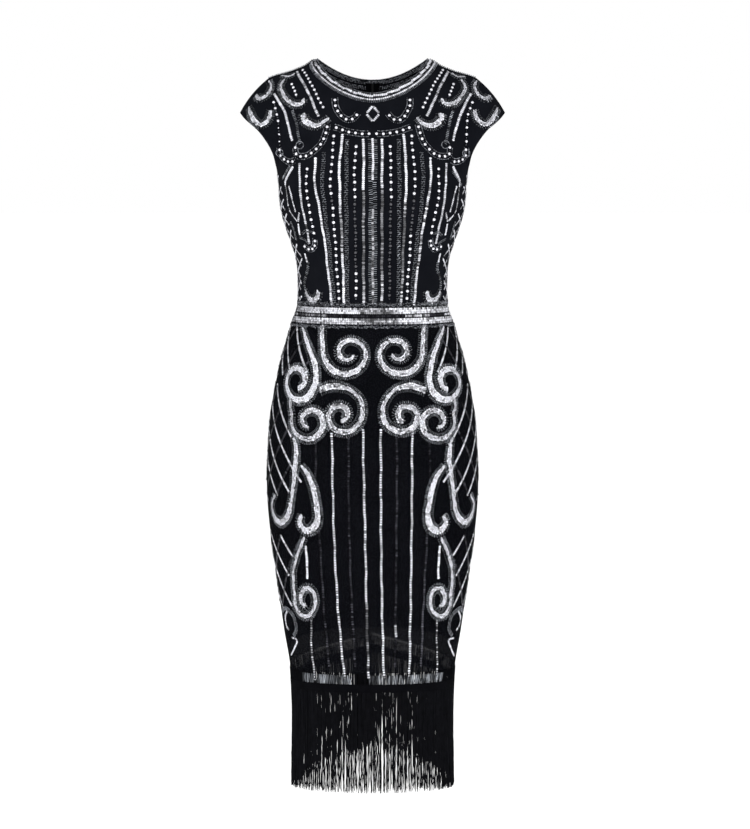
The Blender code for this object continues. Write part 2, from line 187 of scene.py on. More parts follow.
# Soft creases. angle is round the body from the middle front, 90 at the wearer's left and 180 at the back.
# lean is from upright, length and width are half sizes, depth is out of the cloth.
CREASES = table("angle z lean length width depth", [
    (47, -208, 66, 46, 8, -1.3),
    (52, -226, 52, 38, 9, 1.0),
    (-45, -214, -62, 40, 8, -1.1),
    (-54, -236, -48, 44, 9, 0.9),
    (27, -372, 80, 55, 7, -1.0),
    (-33, -379, -84, 48, 7, -0.9),
    (58, -362, 70, 36, 8, 1.0),
    (-61, -356, -74, 44, 8, 1.1),
    (22, -447, 86, 60, 9, 0.8),
    (-38, -455, -78, 50, 9, -1.0),
    (12, -640, 2, 170, 14, -1.2),
    (-24, -705, -3, 200, 16, -1.4),
    (33, -770, 4, 180, 13, 1.3),
    (-43, -630, -5, 150, 14, 1.2),
    (3, -905, 1, 105, 12, 1.5),
    (-13, -890, -2, 120, 11, -1.7),
    (21, -930, 3, 85, 10, -1.4),
    (-31, -925, -2, 90, 12, 1.5),
    (49, -900, -3, 100, 12, -1.2),
    (-57, -890, 4, 95, 13, -1.3),
    (84, -385, 80, 44, 8, 1.2),
    (-88, -378, -82, 48, 8, 1.1),
    (92, -452, 76, 50, 10, -1.2),
    (-95, -448, -72, 42, 9, -1.1),
    (96, -215, 12, 40, 9, -1.2),
    (-99, -222, -15, 44, 9, -1.1),
    (102, -700, 6, 190, 15, 1.2),
    (-107, -740, -4, 210, 14, -1.3),
    (128, -372, 78, 52, 8, -1.3),
    (-131, -366, -80, 56, 8, -1.2),
    (150, -352, 82, 40, 8, 1.1),
    (-152, -348, -78, 46, 8, 1.0),
    (139, -462, 84, 58, 10, 1.2),
    (-143, -470, -80, 52, 10, -1.2),
    (152, -720, 3, 200, 15, -1.5),
    (-149, -760, -3, 190, 15, 1.5),
    (166, -880, 2, 90, 11, 1.5),
    (-163, -870, -2, 95, 12, -1.6),
    (133, -860, 4, 110, 12, 1.4),
    (-128, -875, -4, 100, 12, 1.5),
])
MM_PER_DEGREE = 2.3


# ---------------------------------------------------------------- form of the dress


def smooth_curve(at, knots, values):
    """Values between the rows of a table, on a cubic that runs smoothly through every row."""
    order = np.argsort(knots)
    knots, values = knots[order], values[order]
    slopes = np.gradient(values, knots)
    at = np.clip(at, knots[0], knots[-1])
    low = np.clip(np.searchsorted(knots, at, side="right") - 1, 0, len(knots) - 2)
    span = knots[low + 1] - knots[low]
    t = (at - knots[low]) / span
    start = (1 + 2 * t) * (1 - t) ** 2 * values[low] + t * (1 - t) ** 2 * span * slopes[low]
    end = t * t * (3 - 2 * t) * values[low + 1] + t * t * (t - 1) * span * slopes[low + 1]
    return start + end


def level(name, z):
    """One column of LEVELS at any height."""
    return smooth_curve(z, LEVELS["z"], LEVELS[name])


def shoulder_height(x):
    """Height of the shoulder line at a distance from the middle."""
    return smooth_curve(np.abs(x), SHOULDER["x"], SHOULDER["z"])


def cloth_y(x, z, side):
    """The cloth's place along Y, for a point given in front view. side is FRONT or BACK."""
    share = np.minimum(np.abs(x) / level("half_width", z), 1.0)
    power = level("squareness", z) if side == FRONT else 2.0
    reach = level("front" if side == FRONT else "back", z)
    oval = reach * (1 - share**power) ** (1 / power)
    climb = np.clip((z - UNDERARM) / (shoulder_height(x) - UNDERARM), 0.0, 1.0)
    return side * oval * (1 - climb**ROLL_IN) ** ROLL_OVER


def cloth_points(x, z, side):
    """Points on the cloth, for arrays of places in front view."""
    x, z = np.broadcast_arrays(x, z)
    return np.stack([x, cloth_y(x, z, side), z], axis=-1)


def unit(vectors):
    """The same directions, each of length 1."""
    return vectors / np.maximum(np.linalg.norm(vectors, axis=-1, keepdims=True), 1e-9)


def mirrored(grid):
    """A grid of points or normals on the other side of the middle plane, in the same turning order."""
    return grid[:, ::-1] * MIRROR


def whole(half):
    """A grid from its half on the wearer's left, with the middle column once."""
    return np.concatenate([mirrored(half)[:, :-1], half], axis=1)


def along(line):
    """How far along a line each of its points lies."""
    return np.concatenate([[0], np.cumsum(np.linalg.norm(np.diff(line, axis=0), axis=1))])


def circle(count):
    """Even angles round a full turn, in radians."""
    return np.linspace(0, 2 * math.pi, count, endpoint=False)


def grid_normals(points, closed=False):
    """Unit normals of a grid of points, seen from where its columns run left to right."""
    if closed:
        wrapped = np.concatenate([points[:, -1:], points, points[:, :1]], axis=1)
        across = np.gradient(wrapped, axis=1)[:, 1:-1]
    else:
        across = np.gradient(points, axis=1)
    return unit(np.cross(across, np.gradient(points, axis=0)))


def flattened(normals, axis):
    """Unit normals with no part along one axis, so that panels meet squarely at a seam there."""
    flat = normals.copy()
    flat[..., axis] = 0.0
    return unit(flat)


def angle_columns():
    """Angles of a half panel's columns, from the middle to the side seam, in radians."""
    return np.linspace(0, math.pi / 2, ANGLE_STEPS + 1)


def level_rows(top, bottom, rows, side):
    """Half panel of rows from bottom to top. top and bottom are a height, or one for each column."""
    angles = angle_columns()
    share = np.linspace(0, 1, rows + 1)[:, None]
    z = bottom + (np.broadcast_to(top, angles.shape) - bottom) * share
    return cloth_points(level("half_width", z) * np.sin(angles), z, side)


def bodice_half(side):
    """Half a bodice panel, from its middle to the side seam and armhole, and up to neck and shoulder."""
    lower = level_rows(UNDERARM, WAIST_TOP, LOWER_BODICE_ROWS, side)
    neck = np.linspace(0, math.pi / 2, NECK_STEPS + 1)
    shoulder = np.linspace(NECK_HALF_WIDTH, SHOULDER_HALF_WIDTH, ANGLE_STEPS - NECK_STEPS + 1)[1:]
    neck_x = NECK_HALF_WIDTH * np.sin(neck)
    neck_z = -BACK_NECK_DROP * np.cos(neck) ** 2
    if side == FRONT:
        neck_z = -FRONT_NECK_DROP * (1 - np.sin(neck) ** NECK_BOW) ** NECK_TURN
    top_x = np.concatenate([neck_x, shoulder])
    top_z = np.concatenate([neck_z[:-1], shoulder_height(top_x[NECK_STEPS:])])
    bottom_x = lower[-1, :, 0]
    to_armhole = np.linspace(0, 1, ANGLE_STEPS + 1) ** 4
    rows = []
    for climb in (1 - np.cos(np.linspace(0, math.pi, UPPER_BODICE_ROWS + 1)[1:])) / 2:
        z = UNDERARM + climb * (top_z - UNDERARM)
        x = bottom_x + climb * (top_x - bottom_x)
        x = x + to_armhole * (smooth_curve(z[-1], ARMHOLE["z"], ARMHOLE["x"]) - x[-1])
        rows.append(cloth_points(x, z, side))
    return np.concatenate([lower, np.array(rows)])


def arch(rise):
    """How far the back hem's level rises at each column, most at the middle back."""
    return rise * (1 - (angle_columns() / (math.pi / 2)) ** ARCH_POWER)


def hem_levels(side):
    """The fringe tape's sewing level at each column."""
    flat = np.full(ANGLE_STEPS + 1, FRONT_HEM)
    return flat if side == FRONT else flat + arch(BACK_HEM_RISE)


def wrap_angles(points, side):
    """Angle round the body of points on the cloth, from the middle front towards the wearer's left."""
    from_middle = np.degrees(np.arcsin(np.clip(points[..., 0] / level("half_width", points[..., 2]), -1, 1)))
    if side == FRONT:
        return from_middle
    return np.where(from_middle > 0, 180 - from_middle, -180 - from_middle)


def relief(angle, z):
    """How far the creases push the cloth out at each place."""
    out = np.zeros(np.shape(z))
    for centre, height, lean, length, width, depth in zip(*CREASES.values()):
        across = ((angle - centre + 180) % 360 - 180) * MM_PER_DEGREE
        up = z - height
        turn = math.radians(lean)
        lengthwise = across * math.sin(turn) + up * math.cos(turn)
        aside = across * math.cos(turn) - up * math.sin(turn)
        fade = np.cos(np.clip(lengthwise / length, -1, 1) * math.pi / 2) ** 2
        out += depth * fade * np.exp(-((aside / width) ** 2))
    return out


class Panel:
    """A piece of cloth: its grid of points, outward normals, and whether its columns close into a tube."""

    def __init__(self, points, normals, closed=False):
        self.points, self.normals, self.closed = points, normals, closed

    def cut(self):
        """Largest width, largest length and area of the flat piece that makes this panel, in metres."""
        grid = self.looped()
        widths = np.linalg.norm(np.diff(grid, axis=1), axis=2).sum(1)
        lengths = np.linalg.norm(np.diff(self.points, axis=0), axis=2).sum(0)
        diagonals = np.cross(grid[1:, 1:] - grid[:-1, :-1], grid[1:, :-1] - grid[:-1, 1:])
        area = np.linalg.norm(diagonals, axis=2).sum() / 2
        return widths.max() * MM, lengths.max() * MM, area * MM * MM

    def looped(self):
        """The grid with its first column repeated at the end, where it is a tube."""
        return np.concatenate([self.points, self.points[:, :1]], axis=1) if self.closed else self.points


def creased(points, normals, side):
    """A panel with its creases."""
    return Panel(points + normals * relief(wrap_angles(points, side), points[..., 2])[..., None], normals)


def half_normals(half, side, square_rows=None):
    """Outward normals of a half panel, square to the middle and side seams."""
    normals = grid_normals(half) * -side
    normals[:, 0] = flattened(normals[:, 0], 0)
    normals[:square_rows, -1] = flattened(normals[:square_rows, -1], 1)
    return normals


def add_panels(panels, name, halves, square_rows=None):
    """The front piece and the two back pieces of one part of the dress."""
    for side, half in halves.items():
        normals = half_normals(half, side, square_rows)
        if name == "bodice":
            seam = half[-1, NECK_STEPS:]
            slope = np.gradient(seam[:, 2], seam[:, 0])
            normals[-1, NECK_STEPS:] = unit(np.stack([-slope, 0 * slope, 1 + 0 * slope], axis=1))
        if side == FRONT:
            panels[name + "_front"] = creased(whole(half), whole(normals), FRONT)
        else:
            panels[name + "_back_left"] = creased(half, normals, BACK)
            panels[name + "_back_right"] = creased(mirrored(half), mirrored(normals), BACK)


def sleeve(front_edge, back_edge, front_normals, back_normals):
    """The left cap sleeve, from the armhole seam to its own hem."""
    seam = np.concatenate([front_edge, back_edge[-2:0:-1]])
    seam_normals = np.concatenate([front_normals, back_normals[-2:0:-1]])
    climb = (seam[:, 2] - UNDERARM) / (seam[UPPER_BODICE_ROWS, 2] - UNDERARM)
    z = SLEEVE_HEM_LOW + climb * (SLEEVE_HEM_TOP - SLEEVE_HEM_LOW)
    depth = np.where(seam[:, 1] > 0, SLEEVE_HEM_BACK, -SLEEVE_HEM_FRONT)
    y = depth * 2 * np.sqrt(np.clip(climb * (1 - climb), 0, None))
    hem = np.stack([smooth_curve(z, SLEEVE_HEM["z"], SLEEVE_HEM["x"]), y, z], axis=1)
    share = np.linspace(0, 1, SLEEVE_ROWS + 1)[:, None, None]
    flat = seam + (hem - seam) * share
    out = -grid_normals(flat, closed=True)
    points = flat + out * SLEEVE_BULGE * 4 * share * (1 - share) * climb[None, :, None]
    normals = -grid_normals(points, closed=True)
    normals[0] = seam_normals
    return points, normals


def add_sleeves(panels):
    """Both cap sleeves, each from its own armhole."""
    for name, column, sign in (("left", -1, np.ones(3)), ("right", 0, MIRROR)):
        front, back = panels["bodice_front"], panels["bodice_back_" + name]
        points, normals = sleeve(*(grid[LOWER_BODICE_ROWS:, column] * sign for grid in (
            front.points, back.points, front.normals, back.normals)))
        if name == "right":
            points, normals = mirrored(points), mirrored(normals)
        panels["sleeve_" + name] = Panel(points, normals, closed=True)


def make_panels(above_hem):
    """Every outer piece of cloth, by the name of its solid. The skirt ends above_hem over the tape's seam."""
    panels = {}
    sides = (FRONT, BACK)
    add_panels(panels, "bodice", {side: bodice_half(side) for side in sides}, LOWER_BODICE_ROWS + 1)
    add_sleeves(panels)
    add_panels(panels, "waistband", {s: level_rows(WAIST_TOP, WAIST_BOTTOM, WAIST_ROWS, s) for s in sides})
    hem = {side: hem_levels(side) + above_hem for side in sides}
    add_panels(panels, "skirt", {s: level_rows(WAIST_BOTTOM, hem[s], SKIRT_ROWS, s) for s in sides})
    return panels


# ---------------------------------------------------------------- meshes


def new_mesh(name, points, faces, uvs=None, smooth=True):
    """A mesh from points in millimetres and faces that all have the same number of corners."""
    mesh = bpy.data.meshes.new(name)
    corners = faces.shape[1]
    mesh.vertices.add(len(points))
    mesh.vertices.foreach_set("co", (points * MM).astype(np.float32).ravel())
    mesh.loops.add(faces.size)
    mesh.loops.foreach_set("vertex_index", faces.astype(np.int32).ravel())
    mesh.polygons.add(len(faces))
    mesh.polygons.foreach_set("loop_start", np.arange(0, faces.size, corners, dtype=np.int32))
    if uvs is not None:
        layer = mesh.uv_layers.new(name="weave")
        layer.data.foreach_set("uv", (uvs * MM).astype(np.float32).ravel())
    mesh.polygons.foreach_set("use_smooth", np.full(len(faces), smooth))
    mesh.update(calc_edges=True)
    return mesh


def new_object(name, mesh, material):
    """A mesh in the scene, with its material."""
    obj = bpy.data.objects.new(name, mesh)
    bpy.context.scene.collection.objects.link(obj)
    mesh.materials.append(material)
    return obj


def grid_faces(rows, columns, closed):
    """Corner rows and columns of each quad of a grid, as two arrays. A tube's last column wraps round."""
    spans = columns if closed else columns - 1
    r, c = np.meshgrid(np.arange(rows - 1), np.arange(spans), indexing="ij")
    r, c = r.ravel(), c.ravel()
    return np.stack([r, r, r + 1, r + 1], axis=1), np.stack([c, c + 1, c + 1, c], axis=1)


def shell(name, panel, thickness, material, depth=0.0):
    """A thin closed shell of cloth on a panel: its outer side depth mm inside the panel's points."""
    rows, columns = panel.points.shape[:2]
    outer = panel.points - panel.normals * depth
    inner = outer - panel.normals * thickness
    looped = panel.looped()
    u = np.zeros(looped.shape[:2])
    u[:, 1:] = np.cumsum(np.linalg.norm(np.diff(looped, axis=1), axis=2), axis=1)
    v = np.zeros_like(u)
    v[1:] = np.cumsum(np.linalg.norm(np.diff(looped, axis=0), axis=2), axis=0)
    u -= u[:, looped.shape[1] // 2, None]
    r, c = grid_faces(rows, columns, panel.closed)
    index = r * columns + c % columns
    uv = np.stack([u[r, c], v[r, c]], axis=2)
    first = outer.reshape(-1, 3)[index[0]]
    outward = panel.normals.reshape(-1, 3)[index[0, 0]]
    facing = np.dot(np.cross(first[1] - first[0], first[2] - first[0]), outward)
    if facing < 0:
        index, uv = index[:, ::-1], uv[:, ::-1]
    count = rows * columns
    faces, uvs = [index, index[:, ::-1] + count], [uv, uv[:, ::-1]]
    for edge in rim(rows, columns, panel.closed):
        strip = np.stack([edge[:-1], edge[1:], edge[1:] + count, edge[:-1] + count], axis=1)
        faces.append(strip if facing < 0 else strip[:, ::-1])
        uvs.append(np.zeros((*strip.shape, 2)))
    points = np.concatenate([outer.reshape(-1, 3), inner.reshape(-1, 3)])
    mesh = new_mesh(name, points, np.concatenate(faces), np.concatenate(uvs).reshape(-1, 2))
    mesh.set_sharp_from_angle(angle=SHARP_EDGE)
    return new_object(name, mesh, material)


def rim(rows, columns, closed):
    """The open edges of a grid as runs of point numbers, each with the grid on its left."""
    numbers = np.arange(rows * columns).reshape(rows, columns)
    if closed:
        return [np.append(numbers[0], numbers[0, 0]), np.append(numbers[-1], numbers[-1, 0])[::-1]]
    return [numbers[0], numbers[:, -1], numbers[-1, ::-1], numbers[::-1, 0]]


# How far above the axis the cloth of the shoulders and of the sleeves faces
OVER_SHOULDER = 120.0
OVER_SLEEVE = 40.0


class Ground:
    """The outer side of all the cloth, to cast ornament onto."""

    def __init__(self, panels):
        points, triangles, self.names, self.starts = [], [], list(panels), []
        base = count = 0
        for panel in panels.values():
            rows, columns = panel.points.shape[:2]
            r, c = grid_faces(rows, columns, panel.closed)
            quads = r * columns + c % columns + base
            self.starts.append(count)
            triangles += [quads[:, [0, 1, 2]], quads[:, [0, 2, 3]]]
            count += 2 * len(quads)
            points.append(panel.points.reshape(-1, 3))
            base += rows * columns
        self.tree = BVHTree.FromPolygons(
            np.concatenate(points).tolist(), np.concatenate(triangles).tolist(), all_triangles=True)

    def nearest(self, points):
        """The nearest places on the cloth, outward normals there, and the panels' numbers."""
        found = [self.tree.find_nearest(Vector(p)) for p in points]
        places = np.array([f[0] for f in found])
        normals = np.array([f[1] for f in found])
        panels = np.searchsorted(self.starts, [f[2] for f in found], side="right") - 1
        inward = (normals * self.axis_to(places)).sum(1) < 0
        normals[inward] *= -1
        return places, normals, panels

    def axis_to(self, places):
        """From the body's own upright axis, or the sleeve's, to each place."""
        away = places * np.array([1.0, 1.0, 0.0])
        arm = np.abs(places[:, 0]) > SHOULDER_HALF_WIDTH
        away[arm, 0] = 0
        away[:, 2] = np.where(places[:, 2] > SLEEVE_HEM_TOP, OVER_SHOULDER, np.where(arm, OVER_SLEEVE, 0.0))
        return away

    def cast(self, path, side):
        """Where the sight lines through places on the drawing first meet the cloth. Misses are left out."""
        eye = Vector((EYE[0], EYE[1] * -side, EYE[2]))
        tilt = math.radians(LOOK_DOWN)
        places = []
        for x, z in path:
            across = (x / DRAWING_SCALE + DRAWING_CENTRE_X) / FOCAL_PIXELS
            down = (DRAWING_NECK_Y - z / DRAWING_SCALE) / FOCAL_PIXELS
            forward = math.cos(tilt) - down * math.sin(tilt)
            sight = Vector((across, -side * forward, -math.sin(tilt) - down * math.cos(tilt)))
            hit = self.tree.ray_cast(eye, sight.normalized())[0]
            if hit is not None and (hit.y * side > 0 or z > UNDERARM):
                places.append(hit)
        return np.array(places).reshape(-1, 3)


# ---------------------------------------------------------------- ornament: lines


def curve(*knots):
    """A smooth line through a few places, with a point about every millimetre."""
    knots = np.array(knots, float)
    length = along(knots)
    at = np.linspace(0, length[-1], max(int(length[-1]), 8))
    return np.stack([smooth_curve(at, length, knots[:, i]) for i in range(knots.shape[1])], axis=1)


WOBBLE = 0.5
WOBBLE_LENGTH = 70.0


def wobbled(path):
    """A line with the small unevenness of hand work."""
    length = along(path)
    phase = RANDOM.uniform(0, 2 * math.pi, 4)
    across = WOBBLE * np.sin(length * 2 * math.pi / WOBBLE_LENGTH + phase[0])
    across += WOBBLE / 2 * np.sin(length * 5 * math.pi / WOBBLE_LENGTH + phase[1])
    slope = unit(np.gradient(path, axis=0))
    return path + np.stack([-slope[:, 1], slope[:, 0]], axis=1) * across[:, None]


VOLUTE_STEP = 12


def volute(centre, outer, inner, start, turn, aspect=1.0, power=1.0, stem=()):
    """A spiral that winds in from its stem. Angles are degrees from +x towards +z."""
    steps = int(abs(turn) / VOLUTE_STEP)
    share = np.linspace(0, 1, steps + 1)
    angle = np.radians(start + turn * share)
    radius = inner + (outer - inner) * (1 - share) ** power
    across, up = aspect * radius * np.cos(angle), radius * np.sin(angle)
    return curve(*stem, *np.stack([centre[0] + across, centre[1] + up], axis=1))


def ring(centre, radius):
    """A drawn circle."""
    turn = np.linspace(0, 2 * math.pi, 24)
    return np.stack([centre[0] + radius * np.cos(turn), centre[1] + radius * np.sin(turn)], axis=1)


def evenly(line, spacing, start=0.0):
    """Places spacing mm apart along a line of points, with the line's direction at each, and its share."""
    length = along(line)
    at = np.arange(start, length[-1], spacing)
    places, slopes = (np.stack([np.interp(at, length, grid[:, i]) for i in range(3)], axis=1)
                      for grid in (line, np.gradient(line, axis=0)))
    return places, unit(slopes), at / length[-1]


class Spots:
    """Places on the cloth in a row, each with directions along and across the row and out of the cloth."""

    def __init__(self, ground, line, spacing, across=0.0, start=0.0):
        places, slopes, self.share = evenly(line, spacing, start)
        _, up, _ = ground.nearest(places)
        sideways = unit(np.cross(up, slopes))
        offset = across(self.share) if callable(across) else np.full(len(places), float(across))
        self.places, self.up, self.panels = ground.nearest(places + sideways * offset[:, None])
        self.across = unit(np.cross(self.up, slopes))
        self.along = np.cross(self.across, self.up)


def turned(first, second, degrees):
    """Two square directions turned in their own plane, by an angle for each place."""
    a = np.radians(degrees)[:, None]
    return first * np.cos(a) + second * np.sin(a), second * np.cos(a) - first * np.sin(a)


# ---------------------------------------------------------------- ornament: what is sewn on


def cup(sides=8):
    """A sequin 1 across: a shallow cup with a thin edge. Along, across and up."""
    turn = circle(sides)
    edge = np.stack([np.cos(turn) / 2, np.sin(turn) / 2, np.full(sides, 0.05)], axis=1)
    points = np.concatenate([edge, [(0, 0, -0.03), (0, 0, -0.09)]])
    i = np.arange(sides)
    j = (i + 1) % sides
    above = np.stack([i, j, np.full(sides, sides)], axis=1)
    below = np.stack([j, i, np.full(sides, sides + 1)], axis=1)
    return points, np.concatenate([above, below])


def turned_solid(profile, sides):
    """A closed solid turned about its own axis, up. The profile's ends lie on the axis."""
    rings = [(r * math.cos(a), r * math.sin(a), h) for r, h in profile[1:-1] for a in circle(sides)]
    points = np.array(rings + [(0, 0, profile[0][1]), (0, 0, profile[-1][1])])
    i = np.arange(sides)
    j = (i + 1) % sides
    low, high = len(points) - 2, len(points) - 1
    last = len(rings) - sides
    faces = [np.stack([j, i, np.full(sides, low)], axis=1), np.stack([i, j, np.full(sides, high)], axis=1)]
    faces[1][:, :2] += last
    for a in range(0, last, sides):
        b = a + sides
        faces.append(np.stack([i + a, j + a, j + b], axis=1))
        faces.append(np.stack([i + a, j + b, i + b], axis=1))
    return points, np.concatenate(faces)


def lying(solid):
    """A turned solid laid down, its axis along the row."""
    points, faces = solid
    return points[:, [2, 0, 1]], faces


SHAPES = {
    "sequins": cup(),
    "black_sequins": cup(6),
    "studs": turned_solid([(0, -0.1), (0.5, 0.0), (0.46, 0.2), (0.3, 0.4), (0, 0.48)], 10),
    "bugles": lying(turned_solid([(0, -0.5), (0.5, -0.5), (0.5, 0.5), (0, 0.5)], 5)),
    "seeds": turned_solid([(0, -0.5), (0.5, 0.0), (0, 0.5)], 6),
}


def copies(kind, places, axes, sizes):
    """Points and faces of many copies of a shape, each at its place with its three axes and sizes."""
    points, faces = SHAPES[kind]
    world = places[:, None] + np.einsum("nvi,nij->nvj", points[None] * sizes[:, None], axes)
    numbers = np.arange(len(places))[:, None, None] * len(points)
    return world.reshape(-1, 3), (faces[None] + numbers).reshape(-1, 3)


class Sewing:
    """Everything sewn onto the cloth, gathered by panel and by kind."""

    def __init__(self, ground):
        self.ground = ground
        self.gathered = defaultdict(list)

    def sew(self, kind, spots, size, lift=0.0, lap=0.0, jitter=0.0, tone=1.0, uneven=0.1, turn=0.0):
        """One thing at each spot. size is (along, across, up), lap tips it along the row."""
        count = len(spots.places)
        if not count:
            return
        sizes = np.broadcast_to(np.array(size, float).reshape(-1, 3), (count, 3))
        along, up = turned(spots.along, spots.up, lap + RANDOM.normal(0, 1, count) * jitter)
        across, up = turned(spots.across, up, RANDOM.normal(0, 1, count) * jitter)
        along, across = turned(along, across, np.zeros(count) + turn)
        tones = np.clip(tone * (1 + RANDOM.normal(0, 1, count) * uneven), *TONE_LIMITS)
        # A few sequins at random get a darker tone: painted shadow for the dark gaps under lapped sequins
        gap_shaded = RANDOM.uniform(0, 1, count) < GAP_SHADE_SHARE * (kind == "sequins")
        tones = np.where(gap_shaded, tones * GAP_SHADE_TONE, tones)
        centres = spots.places + spots.up * (lift + sizes[:, :1] / 2 * math.sin(math.radians(abs(lap))))
        axes = np.stack([along, across, up], axis=1)
        for number in np.unique(spots.panels):
            own = spots.panels == number
            group = self.gathered[self.ground.names[number], kind]
            group.append([column[own] for column in (centres, axes, sizes, tones)])

    def pieces(self, materials):
        """One joined mesh for each panel and kind."""
        made = []
        for (panel, kind), rows in sorted(self.gathered.items()):
            centres, axes, sizes, tones = (np.concatenate(column) for column in zip(*rows))
            name = panel + "_" + kind
            mesh = new_mesh(name, *copies(kind, centres, axes, sizes), smooth=kind in ("studs", "seeds"))
            off_middle = 2 * np.linalg.norm(SHAPES[kind][0][:, :2], axis=1)
            for label, values in (
                ("tone", np.repeat(tones, len(off_middle))), ("rim", np.tile(off_middle, len(centres))),
            ):
                shade = mesh.attributes.new(label, "FLOAT", "POINT")
                shade.data.foreach_set("value", values.astype(np.float32))
            made.append((panel, new_object(name, mesh, materials[kind])))
        return made


# Sizes of what is sewn on
SEQUIN = 3.6
SEQUIN_STEP = 3.0
LOOSE_SEQUIN = 3.1
LOOSE_STEP = 4.0
SEQUIN_LAP = 8.0
# The share of sequins darkened as painted shadow of the gaps under lapped ones, and the tone they are
# darkened by
GAP_SHADE_SHARE = 0.06
GAP_SHADE_TONE = 0.4
DULL = 0.7
DULL_UNEVEN = 0.8
STUD = 5.4
STUD_STEP = 11.7
SEED = 2.2
SEED_STEP = 2.4
TICK = 2.6
TICK_STEP = 3.1
OUTER_TICK_STEP = 2.5
TICK_WIDTH = 1.2
TICK_GAP = 0.9
EDGE_GAP = 0.8
BEND_STEP = 4.0
CHAIN_STEP = 3.6
CHAIN_BUGLE = 4.2
CHAIN_SLANT = 32
BAR = 4.6
BAR_STEP = 3.7
BAR_REACH = 1.2
BAR_SHARE = 0.36
BAR_ROWS = (-1.5, 1.5, -0.5, 0.5)
BAR_UNEVEN = 0.45
BAR_SLANT = 5
CORE_SHARE = 0.85
CORE_TONE = 0.7
GLINT = 0.25
GLINT_SPOTS = 14
TONE_LIMITS = (0.02, 1.2)
DULL_STUD = 0.05
# Inside a bend and outside it: the tones of a ribbon's short bugles and of its seeds, and the bugles' step
HALO_INSIDE = (0.26, 0.15, TICK_STEP * 1.3)
HALO_OUTSIDE = (0.46, 0.3, OUTER_TICK_STEP)


def along_row(values, share):
    """Values given evenly along a row, at shares of its length."""
    values = np.atleast_1d(values)
    return np.interp(share, np.linspace(0, 1, len(values)), values)


def beside(side, half_width, *gaps):
    """How far across a row things lie that are some gaps beyond its half width, at each share."""
    return lambda share: side * sum(gaps, half_width(share))


def flat_sizes(length, widths):
    """The sizes of sequins of one length and many widths."""
    return np.stack([np.full(len(widths), length), widths, np.full(len(widths), SEQUIN)], axis=1)


